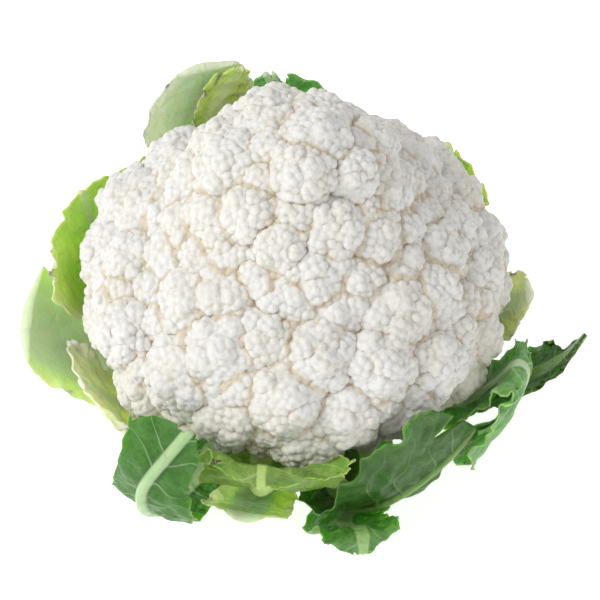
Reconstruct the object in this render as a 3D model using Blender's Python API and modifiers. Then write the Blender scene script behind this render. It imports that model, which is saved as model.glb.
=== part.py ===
"""A trimmed cauliflower: a white curd of florets on its cut stalk, in a rosette of leaves.

The head stands on the cut face of its stalk. The centre of that face is the origin, +Z is up,
and azimuths run counter-clockwise from +X as seen from above, so the front of the head is at -90.
Dimensions are written in millimetres, and the meshes are built in metres.
"""

import math
import random
from dataclasses import dataclass

import bmesh
import bpy
import numpy as np
from mathutils import Matrix, Vector

MILLIMETRE = 0.001
GOLDEN_ANGLE = math.pi * (3 - math.sqrt(5))
NEARLY_ZERO = 1e-6

# The curd: a flattened dome of florets, each floret a dome of lumps
CURD_RADIUS = 85.0
CURD_RISE = 80.0
CURD_RADII = np.array((CURD_RADIUS, CURD_RADIUS, CURD_RISE))
CURD_CENTRE_HEIGHT = 68.0
CURD_SUBDIVISIONS = 6
CURD_TRIANGLES = 8200
CURD_SEED = 37
CORE_SHARE = 0.86
FLORETS = 96
FLORET_CROWDING = 1.10
FLORET_LAST_ANGLE = math.radians(108)
FLORET_SWELL = 1.20
FLORET_UNEVENNESS = 0.02
FLORET_STRAY = 0.05
FLORET_SIZE_RANGE = 0.2
SHOULDER_SLOPE = 0.24
SHOULDER_POWER = 1.5
LUMPS = 16
LUMP_LAST_ANGLE = math.radians(104)
LUMP_SHARE = 0.32
LUMP_DEPTH = 0.11
LUMP_UNEVENNESS = 0.32
LUMP_STRAY = 0.12
LUMP_SEED = 5

# Small florets fill the deepest gaps between the others
FILLERS = 38
FILLER_RADIUS = 10.0
FILLER_TOP = 0.95
FILLER_TRIALS = 4000
FILLER_LAST_ANGLE = math.radians(105)
FILLER_LUMPS = 8

# Under the florets the branches run down a ribbed cone to a flat foot on the stalk
CURD_FOOT_RADIUS = 23.0
CURD_FOOT_HEIGHT = 26.35
CONE_RIM_RADIUS = 66.0
CONE_RIM_HEIGHT = 40.0
BRANCHES = 11
BRANCH_DEPTH = 2.0

# The stalk: a short stump, cut flat, a little uneven round its side
STALK_HEIGHT = 26.0
STALK_FOOT_RADIUS = 20.5
STALK_TOP_RADIUS = 22.5
STALK_SIDES = 30
STALK_RINGS = 4
STALK_CHAMFER = 1.0
STALK_CHAMFER_FROM = math.radians(60)
STALK_RIDGES = 5
STALK_RIDGE_HEIGHT = 0.6
STALK_TWIST = math.radians(40)

# The shell that the leaves follow: its half outline, as radius and height, from stalk to crown
SHELL_OUTLINE = (
    (22.3, 1.0),
    (24.3, 13.0),
    (29.5, 20.5),
    (42.0, 24.3),
    (56.0, 24.8),
    (66.5, 26.0),
    (75.5, 31.5),
    (81.5, 41.5),
    (85.2, 53.0),
    (86.3, 66.0),
    (84.9, 80.0),
    (80.7, 92.5),
    (74.2, 102.0),
    (65.5, 109.5),
    (54.5, 118.0),
    (42.0, 128.0),
    (30.0, 138.0),
)
SHELL_STEPS = 240

# The leaves
LEAF_ROWS = 15
LEAF_COLUMNS = 9
RIB_COLUMNS = 0.25
BLADE = 0.9
THICKEST = 9.0
CURL_POWER = 2.0
CURL_STEPS = 16
FOLD_SINE = 0.85
LOBE_LAG = 2.0
RUFFLE_LAG = 1.0
LEAST_BLADE_WIDTH = 0.5
LEAF_CLEARANCE = 0.7
CLEARANCE_SOFTNESS = 0.4

@dataclass
class Leaf:
    """A leaf, drawn from its base to its tip.

    The route of the midrib is read as azimuth in degrees, climb along the shell and stand-off from
    it. Low and high are the half widths on the sides of lower and higher azimuth, and the curls are
    the angles by which those two margins turn away from the shell. The roll turns the whole blade
    about its midrib, the high side outwards. Ruffle is an angle and a number of waves along the
    margins, and lobes are a share of the width and a number along them. The tip is the share of the
    length by which the leaf is shorter along its margins than along its midrib.
    """

    colour: str
    route: tuple
    low: tuple
    high: tuple
    rib: tuple
    rib_width: tuple
    low_curl: tuple = (0, 0)
    high_curl: tuple = (0, 0)
    roll: tuple = (0, 0)
    ruffle: tuple = (12, 3.0)
    lobes: tuple = (0.10, 3.0)
    tip: float = 0.14


LEAVES = {
    "leaf_left_outer": Leaf(
        colour="pale",
        route=((180, 5, 0.8), (181, 24, 8), (182, 46, 10), (183, 70, 13), (183, 92, 20)),
        low=(6, 9, 15, 27, 28),
        high=(6, 9, 16, 28, 30),
        rib=(4.0, 5.5, 5.0, 4.5, 4.0),
        rib_width=(5, 8, 13, 22, 25),
        high_curl=(0, 0, 0, 10, 25),
        ruffle=(6, 2.0),
        lobes=(0.04, 3.0),
    ),
    "leaf_left_front": Leaf(
        colour="light",
        route=((-152, 16, 0.8), (-151, 34, 2), (-151, 58, 2.5), (-152, 78, 3), (-153, 90, 6)),
        low=(6, 9, 18, 26, 27),
        high=(6, 9, 18, 28, 30),
        rib=(3.5, 3.5, 3.5, 2.5, 1),
        rib_width=(5, 6, 5, 4, 3),
        lobes=(0.05, 3.0),
        tip=0.05,
        low_curl=(0, 0, 0, 0, 20),
        high_curl=(0, 0, 0, 0, 20),
        ruffle=(14, 4),
    ),
    "leaf_upper_left": Leaf(
        colour="light",
        route=(
            (151, 16, 0.8), (151, 34, 2), (153, 60, 2.5), (155, 84, 4),
            (154, 98, 7), (153, 107, 9.5),
        ),
        low=(6, 9, 22, 38, 40, 38),
        high=(6, 9, 24, 42, 44, 40),
        rib=(3.5, 3.5, 3.5, 3, 2, 1.5),
        rib_width=(5, 6, 5, 4, 3, 3),
        low_curl=(0, 0, 0, 0, 0, 10),
        high_curl=(0, 0, 0, 0, 0, 15),
        ruffle=(8, 3.0),
        lobes=(0.04, 3.0),
    ),
    "leaf_back_left_outer": Leaf(
        colour="pale",
        route=(
            (97, 5, 0.8), (98, 24, 8), (102, 52, 10), (107, 84, 10),
            (113, 112, 11), (113, 133, 11),
        ),
        low=(6, 9, 15, 22, 26, 18),
        high=(6, 9, 17, 24, 26, 16),
        rib=(4, 5, 5, 4.5, 4, 3),
        rib_width=(5, 7, 11, 16, 19, 14),
        high_curl=(0, 0, 0, 0, 10, 10),
        ruffle=(8, 2.0),
        lobes=(0.10, 2.5),
    ),
    "leaf_back_left_inner": Leaf(
        colour="light",
        route=(
            (114, 16, 0.8), (114, 34, 2), (114, 56, 2.5), (114, 90, 3),
            (111, 118, 4), (104, 136, 6),
        ),
        low=(6, 8, 11, 11, 9, 13),
        high=(6, 8, 11, 11, 9, 13),
        rib=(3.5, 3.5, 3.5, 3.0, 3.0, 1.5),
        rib_width=(5, 6, 5, 4, 4, 2),
        low_curl=(0, 0, 0, 0, 0, 20),
        high_curl=(0, 0, 0, 0, 20, 40),
        ruffle=(8, 2.0),
        lobes=(0.08, 3.0),
    ),
    "leaf_back": Leaf(
        colour="dark",
        route=((78, 16, 0.8), (78, 34, 2), (80, 56, 2.5), (89, 96, 3), (97, 132, 4)),
        low=(6, 9, 16, 22, 20),
        high=(6, 9, 14, 16, 18),
        rib=(3.5, 3.5, 3.5, 3.0, 1.5),
        rib_width=(5, 6, 5, 4, 3),
        low_curl=(0, 0, 0, 0, 10),
        high_curl=(0, 0, 0, 0, 10),
        ruffle=(16, 4.0),
        lobes=(0.08, 4.0),
    ),
    "leaf_back_right": Leaf(
        colour="dark",
        route=((59, 5, 0.8), (60, 24, 9), (61, 48, 10), (64, 74, 9), (68, 98, 9)),
        low=(6, 9, 12, 22, 18),
        high=(6, 9, 14, 22, 18),
        rib=(4.0, 5.0, 4.5, 3.5, 2.0),
        rib_width=(5, 7, 6, 5, 3),
        low_curl=(0, 0, 0, 0, 20),
        high_curl=(0, 0, 0, 0, 20),
        ruffle=(14, 3.0),
        lobes=(0.08, 4.0),
    ),
    "leaf_right_upper": Leaf(
        colour="light",
        route=((41, 16, 0.8), (41, 34, 2), (41, 60, 2.5), (43, 88, 3), (46, 112, 4)),
        low=(6, 9, 15, 22, 18),
        high=(6, 9, 14, 20, 18),
        rib=(3.5, 3.5, 3.5, 3.0, 1.5),
        rib_width=(5, 6, 5, 4, 3),
        low_curl=(0, 0, 0, 0, 10),
        high_curl=(0, 0, 0, 0, 10),
    ),
    "leaf_right_back": Leaf(
        colour="dark",
        route=((23, 5, 0.8), (23, 24, 9), (23, 44, 11), (23, 62, 11), (22, 80, 12)),
        low=(6, 9, 12, 20, 16),
        high=(6, 9, 12, 20, 16),
        rib=(4.0, 5.0, 4.5, 3.5, 2.0),
        rib_width=(5, 7, 6, 5, 3),
        low_curl=(0, 0, 0, 0, 20),
        high_curl=(0, 0, 0, 0, 20),
        ruffle=(14, 3.0),
        lobes=(0.08, 4.0),
    ),
    "leaf_right": Leaf(
        colour="pale",
        route=((5, 16, 0.8), (5, 34, 2.0), (5, 56, 2.5), (3, 78, 4), (0, 96, 6)),
        low=(6, 8, 12, 14, 11),
        high=(6, 9, 14, 16, 13),
        rib=(3.5, 3.5, 3.5, 3.0, 2.5),
        rib_width=(5, 6, 6, 6, 6),
        low_curl=(0, 0, 0, 0, 20),
        ruffle=(8, 2.0),
    ),
    "leaf_right_front": Leaf(
        colour="light",
        route=(
            (-29, 16, 0.8), (-28, 34, 2), (-27, 58, 2.5), (-25, 84, 3),
            (-24, 96, 6), (-24, 94, 12.5), (-27, 76, 16.5), (-31, 59, 20),
        ),
        low=(6, 9, 16, 18, 19, 26, 28, 18),
        high=(6, 9, 16, 16, 13, 11, 8, 6),
        rib=(3.5, 3.5, 3.5, 2.5, 1, 0.5, 0.5, 0.5),
        rib_width=(5, 6, 5, 4, 3, 2, 2, 2),
        lobes=(0.08, 3.0),
        tip=0.06,
    ),
    "leaf_far_right": Leaf(
        colour="dark",
        route=((-14, 5, 0.8), (-14, 24, 9), (-13, 46, 12), (-13, 68, 16), (-11, 84, 24), (-6, 91, 31)),
        low=(6, 9, 12, 14, 10, 2),
        high=(6, 9, 12, 16, 14, 2),
        rib=(4.0, 5.0, 4.5, 3.5, 2.5, 1.0),
        rib_width=(5, 7, 6, 5, 4, 1),
        low_curl=(0, 0, 0, -20, -10, 0),
        ruffle=(12, 3.0),
        lobes=(0.12, 4.0),
    ),
    "leaf_front_right": Leaf(
        colour="dark",
        route=(
            (-66, 5, 0.8), (-67, 26, 9), (-72, 44, 11), (-77, 58, 12),
            (-70, 70, 12.5), (-57, 79, 10), (-42, 88, 7),
        ),
        low=(4, 6.5, 9, 13, 22.5, 35, 27),
        high=(4, 6.5, 9, 10, 9, 8, 7),
        rib=(4.0, 4.5, 4.5, 3.5, 2.5, 2.0, 1.0),
        rib_width=(3.5, 6, 5, 3.5, 2.5, 2, 1.5),
        roll=(0, 0, 0, 5, 15, 20, 20),
        ruffle=(12, 4.0),
        lobes=(0.08, 5.0),
        tip=0.06,
    ),
    "leaf_front_tip": Leaf(
        colour="dark",
        route=(
            (-43, 5, 0.8), (-45, 27, 10), (-62, 50, 18), (-76, 64, 19),
            (-76, 76, 19), (-76, 82, 24), (-76, 76, 30),
        ),
        low=(4, 6.5, 12, 15, 15, 14, 10),
        high=(4, 7, 13, 15, 15, 14, 8),
        rib=(4.0, 4.5, 4.0, 3.0, 2.0, 1.0, 0.5),
        rib_width=(3.5, 6, 5, 4, 3, 3, 2),
        lobes=(0.04, 3),
    ),
    "leaf_front": Leaf(
        colour="light",
        route=(
            (-106, 16, 0.8), (-105, 34, 2), (-101, 58, 2.5), (-97, 87, 2.5),
            (-97, 100, 3.5), (-97, 104, 8), (-97, 97, 11.5),
        ),
        low=(6, 9, 18, 24, 22, 19, 17),
        high=(6, 9, 18, 28, 30, 27, 24),
        rib=(3.5, 3.5, 3.5, 2.5, 1.0, 0.5, 0.5),
        rib_width=(5, 6, 5, 4, 2.5, 2, 2),
        ruffle=(14, 4.0),
        lobes=(0.1, 4.0),
    ),
    "leaf_front_outer": Leaf(
        colour="pale",
        route=((-90, 5, 0.8), (-94, 26, 9), (-100, 46, 11), (-102, 62, 12), (-102, 74, 13)),
        low=(4, 8, 11, 16, 17),
        high=(4, 7.5, 9.5, 16, 20),
        rib=(4.0, 4.5, 4.5, 4.0, 3.0),
        rib_width=(3.5, 6, 7, 8, 8),
        low_curl=(0, 0, 0, 0, 10),
        high_curl=(0, 0, 0, 0, 10),
        ruffle=(16, 3.0),
    ),
    "leaf_front_left": Leaf(
        colour="light",
        route=(
            (-127, 5, 0.8), (-127, 26, 9), (-125, 50, 15.5), (-123, 74, 22),
            (-120.5, 94, 21), (-116.5, 106, 12), (-113.5, 114, 6),
        ),
        low=(6, 9, 13, 14, 14, 17.5, 18),
        high=(6, 9, 12, 17, 18, 12, 8),
        rib=(4.0, 5.0, 4.5, 3.5, 3.0, 2.5, 1.5),
        rib_width=(5, 7, 5, 3.5, 2.5, 2.5, 2.5),
        ruffle=(8, 3.0),
    ),
}

COLOURS = {
    "curd": (0.86, 0.83, 0.76),
    "stalk": (0.72, 0.76, 0.56),
    "pale": (0.62, 0.74, 0.52),
    "light": (0.32, 0.52, 0.13),
    "dark": (0.09, 0.22, 0.06),
}
CURD_ROUGHNESS = 0.75
LEAF_ROUGHNESS = 0.5


def unit(vectors):
    """The vectors, each at length one."""
    return vectors / np.linalg.norm(vectors, axis=-1, keepdims=True)


def spline(points, share):
    """Read a smooth curve through the points, at shares from 0 to 1 of its way."""
    points = np.array(points, dtype=float)
    first = 2 * points[0] - points[1]
    last = 2 * points[-1] - points[-2]
    points = np.concatenate(([first], points, [last]))
    place = np.clip(share, 0, 1) * (len(points) - 3)
    index = np.minimum(place.astype(int), len(points) - 4)
    t = (place - index).reshape((-1,) + (1,) * (points.ndim - 1))
    before, here, after, beyond = (points[index + step] for step in range(4))
    bend = 2 * before - 5 * here + 4 * after - beyond
    snap = 3 * here - before - 3 * after + beyond
    return here + 0.5 * ((after - before) * t + bend * t**2 + snap * t**3)


def golden_directions(count, crowding, last_angle):
    """Unit vectors wound out from +Z by the golden angle, as far as the last angle."""
    share = ((np.arange(count) + 0.5) / count) ** crowding
    cosine = 1 - share * (1 - math.cos(last_angle))
    sine = np.sqrt(1 - cosine**2)
    azimuth = np.arange(count) * GOLDEN_ANGLE
    return np.stack((sine * np.cos(azimuth), sine * np.sin(azimuth), cosine), axis=1)


def floret_radii():
    """Half the spacing of the florets, wider towards the rim, with a little overlap."""
    mean_radius = (2 * CURD_RADIUS + CURD_RISE) / 3
    area = 2 * math.pi * mean_radius**2 * (1 - math.cos(FLORET_LAST_ANGLE)) / FLORETS
    share = (np.arange(FLORETS) + 0.5) / FLORETS
    areas = area * FLORET_CROWDING * share ** (FLORET_CROWDING - 1)
    return FLORET_SWELL * np.sqrt(areas / math.pi)


def dome(directions):
    """How far the curd's skin lies along each direction, apart from its lumps."""
    bend = np.maximum(directions[..., 2], 0) ** SHOULDER_POWER
    shoulder = SHOULDER_SLOPE * 4 * bend * (1 - bend)
    return np.linalg.norm(directions * CURD_RADII, axis=-1) * (1 - shoulder)


def floret_places():
    """The middles and the radii of the florets, and of the small ones in the gaps between them."""
    rng = random.Random(CURD_SEED)
    middles = []
    sizes = []
    directions = golden_directions(FLORETS, FLORET_CROWDING, FLORET_LAST_ANGLE)
    for direction, radius in zip(directions, floret_radii()):
        stray = Vector([rng.uniform(-FLORET_STRAY, FLORET_STRAY) for axis in "xyz"])
        direction = unit(direction + np.array(stray))
        radius *= 1 + rng.uniform(-FLORET_SIZE_RANGE, FLORET_SIZE_RANGE)
        stretch = 1 + rng.uniform(-FLORET_UNEVENNESS, FLORET_UNEVENNESS)
        spoke = direction * CURD_RADII
        length = dome(direction) * stretch
        middles.append(spoke / np.linalg.norm(spoke) * (length - radius))
        sizes.append(radius)
    trials = golden_directions(FILLER_TRIALS, 1.0, FILLER_LAST_ANGLE)
    spokes = unit(trials * CURD_RADII)
    for filler in range(FILLERS):
        reach = reach_of_spheres(spokes, np.array(middles), np.array(sizes))
        gap = np.argmin(reach / dome(trials))
        length = dome(trials[gap]) * FILLER_TOP
        middles.append(spokes[gap] * (length - FILLER_RADIUS))
        sizes.append(FILLER_RADIUS)
    return np.array(middles), np.array(sizes)


def lumps_of(middle, radius, count, rng):
    """The centres, from the middle of the curd, and the radii of a floret's lumps."""
    outward = unit(middle / CURD_RADII**2)
    turn = Vector(outward).to_track_quat("Z", "Y").to_matrix()
    turn = np.array(turn @ Matrix.Rotation(rng.uniform(0, math.tau), 3, "Z"))
    centres = []
    radii = []
    for lump in golden_directions(count, 1.0, LUMP_LAST_ANGLE):
        unevenness = rng.uniform(-LUMP_UNEVENNESS, LUMP_UNEVENNESS)
        stray = Vector([rng.uniform(-LUMP_STRAY, LUMP_STRAY) for axis in "xyz"])
        lump_radius = LUMP_SHARE * radius * (1 + unevenness)
        centres.append(middle + turn @ unit(lump + np.array(stray)) * (radius - lump_radius))
        radii.append(lump_radius)
    centres.append(middle)
    radii.append(radius * (1 - LUMP_DEPTH))
    return centres, radii


def lump_spheres():
    """Centres, from the middle of the curd, and radii of every lump of every floret."""
    rng = random.Random(LUMP_SEED)
    centres = []
    radii = []
    for number, (middle, radius) in enumerate(zip(*floret_places())):
        count = LUMPS if number < FLORETS else FILLER_LUMPS
        more_centres, more_radii = lumps_of(middle, radius, count, rng)
        centres += more_centres
        radii += more_radii
    return np.array(centres), np.array(radii)


def reach_of_spheres(directions, centres, radii):
    """How far each ray from the curd's middle goes before it leaves the last sphere."""
    along = directions @ centres.T
    inside = radii**2 - (centres**2).sum(axis=1) + along**2
    reach = np.where(inside > 0, along + np.sqrt(np.maximum(inside, 0)), 0)
    return reach.max(axis=1)


def reach_of_core(directions):
    """How far each ray goes inside the core, which ends in the ribbed cone and the flat foot."""
    level = np.hypot(directions[:, 0], directions[:, 1])
    rise = directions[:, 2]
    inside = CORE_SHARE * dome(unit(directions / CURD_RADII))
    foot_drop = CURD_CENTRE_HEIGHT - CURD_FOOT_HEIGHT
    foot = foot_drop / np.maximum(-rise, NEARLY_ZERO)
    run = CONE_RIM_RADIUS - CURD_FOOT_RADIUS
    climb = CONE_RIM_HEIGHT - CURD_FOOT_HEIGHT
    slant = math.hypot(run, climb)
    distance = (climb * CURD_FOOT_RADIUS + run * foot_drop) / slant
    approach = (climb * level - run * rise) / slant
    cone = distance / np.maximum(approach, NEARLY_ZERO)
    azimuth = np.arctan2(directions[:, 1], directions[:, 0])
    groove = BRANCH_DEPTH * (0.5 - 0.5 * np.cos(BRANCHES * azimuth))
    cone *= 1 - groove / distance
    return np.minimum(np.minimum(inside, foot), cone)


def build_curd():
    """Push a sphere's points out along their rays to the skin of the florets."""
    mesh_data = bmesh.new()
    bmesh.ops.create_icosphere(mesh_data, subdivisions=CURD_SUBDIVISIONS, radius=1.0)
    directions = unit(np.array([vertex.co for vertex in mesh_data.verts]))
    reach = np.maximum(reach_of_spheres(directions, *lump_spheres()), reach_of_core(directions))
    points = directions * reach[:, None] + (0, 0, CURD_CENTRE_HEIGHT)
    for vertex, point in zip(mesh_data.verts, points):
        vertex.co = Vector(point) * MILLIMETRE
    faces = len(mesh_data.faces)
    curd = add_object("curd", mesh_data, "curd", CURD_ROUGHNESS)
    thinning = curd.modifiers.new("Thinning", "DECIMATE")
    thinning.ratio = CURD_TRIANGLES / faces
    return curd


def build_stalk():
    """A stump with rings of points, swollen into low ridges that wind up its side."""
    mesh_data = bmesh.new()
    bmesh.ops.create_cone(
        mesh_data,
        cap_ends=True,
        segments=STALK_SIDES,
        radius1=STALK_FOOT_RADIUS,
        radius2=STALK_TOP_RADIUS,
        depth=STALK_HEIGHT,
    )
    upright = []
    for edge in mesh_data.edges:
        foot, top = edge.verts
        if foot.co.z != top.co.z:
            upright.append(edge)
    bmesh.ops.subdivide_edges(mesh_data, edges=upright, cuts=STALK_RINGS)
    for vertex in mesh_data.verts:
        height = vertex.co.z + STALK_HEIGHT / 2
        azimuth = math.atan2(vertex.co.y, vertex.co.x)
        turn = azimuth + STALK_TWIST * height / STALK_HEIGHT
        swelling = STALK_RIDGE_HEIGHT * math.cos(STALK_RIDGES * turn)
        radius = math.hypot(vertex.co.x, vertex.co.y) + swelling
        point = Vector((radius * math.cos(azimuth), radius * math.sin(azimuth), height))
        vertex.co = point * MILLIMETRE
    stalk = add_object("stalk", mesh_data, "stalk", LEAF_ROUGHNESS)
    edges = stalk.modifiers.new("Cut edges", "BEVEL")
    edges.width = STALK_CHAMFER * MILLIMETRE
    edges.segments = 1
    edges.limit_method = "ANGLE"
    edges.angle_limit = STALK_CHAMFER_FROM
    return stalk


class Shell:
    """The surface of revolution round the curd and the stalk that the leaves are laid on."""

    def __init__(self):
        self.outline = spline(SHELL_OUTLINE, np.linspace(0, 1, SHELL_STEPS))
        steps = np.linalg.norm(np.diff(self.outline, axis=0), axis=1)
        self.climb = np.concatenate(([0], np.cumsum(steps)))
        slope = unit(np.gradient(self.outline, self.climb, axis=0))
        self.outward = np.stack((slope[:, 1], -slope[:, 0]), axis=1)

    def at(self, azimuth, climb):
        """Points of the shell, the way out from it, and how round it is there from side to side."""
        radius, height = (np.interp(climb, self.climb, column) for column in self.outline.T)
        level, rise = unit(
            np.stack([np.interp(climb, self.climb, column) for column in self.outward.T], axis=1)
        ).T
        spoke = np.stack((np.cos(azimuth), np.sin(azimuth)), axis=1)
        points = np.column_stack((spoke * radius[:, None], height))
        outward = np.column_stack((spoke * level[:, None], rise))
        return points, outward, np.maximum(level, 0) / radius

    def keep_clear(self, points, least):
        """Push the points out until they stand off the shell by the least distance or more."""
        radius = np.hypot(points[..., 0], points[..., 1])
        flat = np.stack((radius, points[..., 2]), axis=-1)
        away = flat[..., None, :] - self.outline
        nearest = np.linalg.norm(away, axis=-1).argmin(axis=-1)
        normal = self.outward[nearest]
        away = np.take_along_axis(away, nearest[..., None, None], axis=-2)[..., 0, :]
        short = least - (away * normal).sum(axis=-1)
        lift = 0.5 * (short + np.hypot(short, CLEARANCE_SOFTNESS))
        spoke = points[..., :2] / radius[..., None]
        push = np.concatenate((spoke * normal[..., :1], normal[..., 1:]), axis=-1)
        return points + push * lift[..., None]


def sideways_along(along, outward):
    """The blade's sideways direction in each row, level with the shell, carried over a fold."""
    sideways = np.cross(along, outward)
    sideways[0] = unit(sideways[0])
    for row in range(1, len(along)):
        before = sideways[row - 1]
        if np.linalg.norm(sideways[row]) < FOLD_SINE:
            sideways[row] = before
        elif sideways[row] @ before < 0:
            sideways[row] *= -1
        sideways[row] = unit(sideways[row] - along[row] * (sideways[row] @ along[row]))
    return sideways


def leaf_surface(shell, leaf, rows, columns):
    """Points of a leaf's inner face and its thickness there, in rows from the base to the tip."""
    along_share = np.linspace(0, 1, rows)
    across = np.linspace(-1, 1, columns)
    route = spline(leaf.route, along_share)
    points, outward, roundness = shell.at(np.radians(route[:, 0]), route[:, 1])
    middle = points + outward * route[:, 2:]
    along = unit(np.gradient(middle, axis=0))
    sideways = sideways_along(along, outward)
    facing = np.cross(sideways, along)

    rib_height = spline(leaf.rib, along_share)[:, None]
    rib_width = spline(leaf.rib_width, along_share)[:, None]
    side = np.sign(across)
    roll = spline(leaf.roll, along_share)[:, None]
    low = side < 0
    width, high_width, curl, high_curl = (
        spline(values, along_share)[:, None]
        for values in (leaf.low, leaf.high, leaf.low_curl, leaf.high_curl)
    )
    width = np.where(low, width, high_width)
    curl = np.where(low, curl, high_curl)
    depth, waves = leaf.lobes
    wave = math.tau * waves * along_share[:, None]
    width = width * (1 + depth * np.sin(wave + LOBE_LAG * side))
    width = np.maximum(width, rib_width + LEAST_BLADE_WIDTH)
    reach = np.where(
        abs(across) < RIB_COLUMNS,
        rib_width * abs(across) / RIB_COLUMNS,
        rib_width + (width - rib_width) * (abs(across) - RIB_COLUMNS) / (1 - RIB_COLUMNS),
    )

    angle, waves = leaf.ruffle
    wave = math.tau * waves * along_share[:, None]
    ruffle = np.radians(angle) * np.sin(wave + RUFFLE_LAG * side)
    share = (np.arange(CURL_STEPS) + 0.5) / CURL_STEPS
    way = reach[..., None] * share
    margin = (way / width[..., None]) ** CURL_POWER
    wrap = (roundness * (facing * outward).sum(axis=1))[:, None, None]
    tilt = (np.radians(curl) + ruffle)[..., None] * margin - wrap * way
    tilt += np.radians(roll * side)[..., None]
    sideways_run = side * reach * np.cos(tilt).mean(axis=-1)
    outward_run = reach * np.sin(tilt).mean(axis=-1)
    surface = (
        middle[:, None, :]
        + sideways[:, None, :] * sideways_run[..., None]
        + facing[:, None, :] * outward_run[..., None]
    )
    surface = shell.keep_clear(surface, LEAF_CLEARANCE)

    rib = np.clip(1 - (reach / rib_width) ** 2, 0, 1)
    thickness = BLADE + rib_height * rib
    for column, share in enumerate(1 - leaf.tip * across**2):
        surface[:, column] = spline(surface[:, column], along_share * share)
        thickness[:, column] = spline(thickness[:, column], along_share * share)
    return surface, thickness


def build_leaf(shell, name, leaf):
    """Shape a grid to the leaf's inner face and thicken it outwards, most along its rib."""
    surface, thickness = leaf_surface(shell, leaf, LEAF_ROWS, LEAF_COLUMNS)
    mesh_data = bmesh.new()
    bmesh.ops.create_grid(mesh_data, x_segments=LEAF_COLUMNS - 1, y_segments=LEAF_ROWS - 1, size=1.0)
    weights = []
    for vertex in mesh_data.verts:
        column = round((vertex.co.x + 1) / 2 * (LEAF_COLUMNS - 1))
        row = round((vertex.co.y + 1) / 2 * (LEAF_ROWS - 1))
        vertex.co = Vector(surface[row, column]) * MILLIMETRE
        weights.append(thickness[row, column] / THICKEST)
    bmesh.ops.triangulate(mesh_data, faces=mesh_data.faces[:])
    blade = add_object(name, mesh_data, leaf.colour, LEAF_ROUGHNESS)
    group = blade.vertex_groups.new(name="Thickness")
    for index, weight in enumerate(weights):
        group.add([index], weight, "REPLACE")
    body = blade.modifiers.new("Body", "SOLIDIFY")
    body.thickness = THICKEST * MILLIMETRE
    body.offset = 1.0
    body.vertex_group = group.name
    return blade


def material(name, colour, roughness):
    """A plain surface of one colour."""
    surface = bpy.data.materials.new(name)
    surface.use_nodes = True
    shader = surface.node_tree.nodes["Principled BSDF"]
    shader.inputs["Base Color"].default_value = (*COLOURS[colour], 1.0)
    shader.inputs["Roughness"].default_value = roughness
    shader.inputs["Metallic"].default_value = 0.0
    surface.diffuse_color = (*COLOURS[colour], 1.0)
    return surface


def add_object(name, mesh_data, colour, roughness):
    """Turn the mesh data into a smooth object of its own in the cauliflower's collection."""
    mesh = bpy.data.meshes.new(name)
    mesh_data.to_mesh(mesh)
    mesh_data.free()
    mesh.shade_smooth()
    mesh.materials.append(material(name, colour, roughness))
    piece = bpy.data.objects.new(name, mesh)
    bpy.data.collections["cauliflower"].objects.link(piece)
    return piece


def clear_scene():
    """Remove what the scene holds, and make the collection that the pieces go in."""
    for item in list(bpy.data.objects):
        bpy.data.objects.remove(item, do_unlink=True)
    collection = bpy.data.collections.new("cauliflower")
    bpy.context.scene.collection.children.link(collection)


def main():
    clear_scene()
    build_curd()
    build_stalk()
    shell = Shell()
    for name, leaf in LEAVES.items():
        build_leaf(shell, name, leaf)


main()
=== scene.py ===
# %% [markdown]
# A cauliflower, dressed from its imported solids
#
# A trimmed cauliflower is three things: a curd of white buds crowded on short branches, the stalk
# that they grow from, and the leaves that were cut or broken round it. The imported solids have
# the place and the size of each one. This lesson replaces them with pieces fine enough to look
# at closely, which keep the solids' form because they are made from the same named values.
#
# The script starts by loading the solids.

# %% Load the solids
import math
import random
from dataclasses import dataclass

import bmesh
import bpy
import numpy as np
from mathutils import Matrix, Vector


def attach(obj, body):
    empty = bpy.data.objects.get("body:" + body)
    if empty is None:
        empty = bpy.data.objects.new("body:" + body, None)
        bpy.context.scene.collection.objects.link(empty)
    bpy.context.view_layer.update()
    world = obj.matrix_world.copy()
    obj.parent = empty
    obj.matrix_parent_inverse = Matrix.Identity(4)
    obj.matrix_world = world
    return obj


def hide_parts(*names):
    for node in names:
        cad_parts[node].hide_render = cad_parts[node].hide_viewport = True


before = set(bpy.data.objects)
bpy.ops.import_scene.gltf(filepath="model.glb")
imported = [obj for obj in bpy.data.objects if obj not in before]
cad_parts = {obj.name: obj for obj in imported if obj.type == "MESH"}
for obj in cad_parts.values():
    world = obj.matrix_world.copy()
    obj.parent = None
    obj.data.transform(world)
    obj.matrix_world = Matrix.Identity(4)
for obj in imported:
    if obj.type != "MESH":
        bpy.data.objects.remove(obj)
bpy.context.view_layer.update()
MILLIMETRE = 0.001
BODY = "root"

# %% [markdown]
# The studio
#
# The photograph looks down on the head from the front, at about 47 degrees, through a long lens:
# near and far florets are nearly the same size in it. So the camera stands well back. Its target
# is the point of the head that lies in the middle of the picture.

# %% Camera
VIEW_ELEVATION = math.radians(47)
VIEW_DISTANCE = 0.7
PICTURE_WIDTH = 0.2328
PICTURE_SHIFT = (0.01, -0.05)
VIEW_TARGET = Vector((0, 0, 66)) * MILLIMETRE

scene = bpy.context.scene
camera_data = bpy.data.cameras.new("camera")
camera = bpy.data.objects.new("camera", camera_data)
scene.collection.objects.link(camera)
scene.camera = camera
towards_camera = Vector((0, -math.cos(VIEW_ELEVATION), math.sin(VIEW_ELEVATION)))
camera.location = VIEW_TARGET + towards_camera * VIEW_DISTANCE
camera.rotation_euler = (-towards_camera).to_track_quat("-Z", "Y").to_euler()
camera_data.lens = camera_data.sensor_width * VIEW_DISTANCE / PICTURE_WIDTH
camera_data.shift_x, camera_data.shift_y = PICTURE_SHIFT
camera_data.clip_end = 100.0
print("lens", round(camera_data.lens), "mm")

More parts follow.
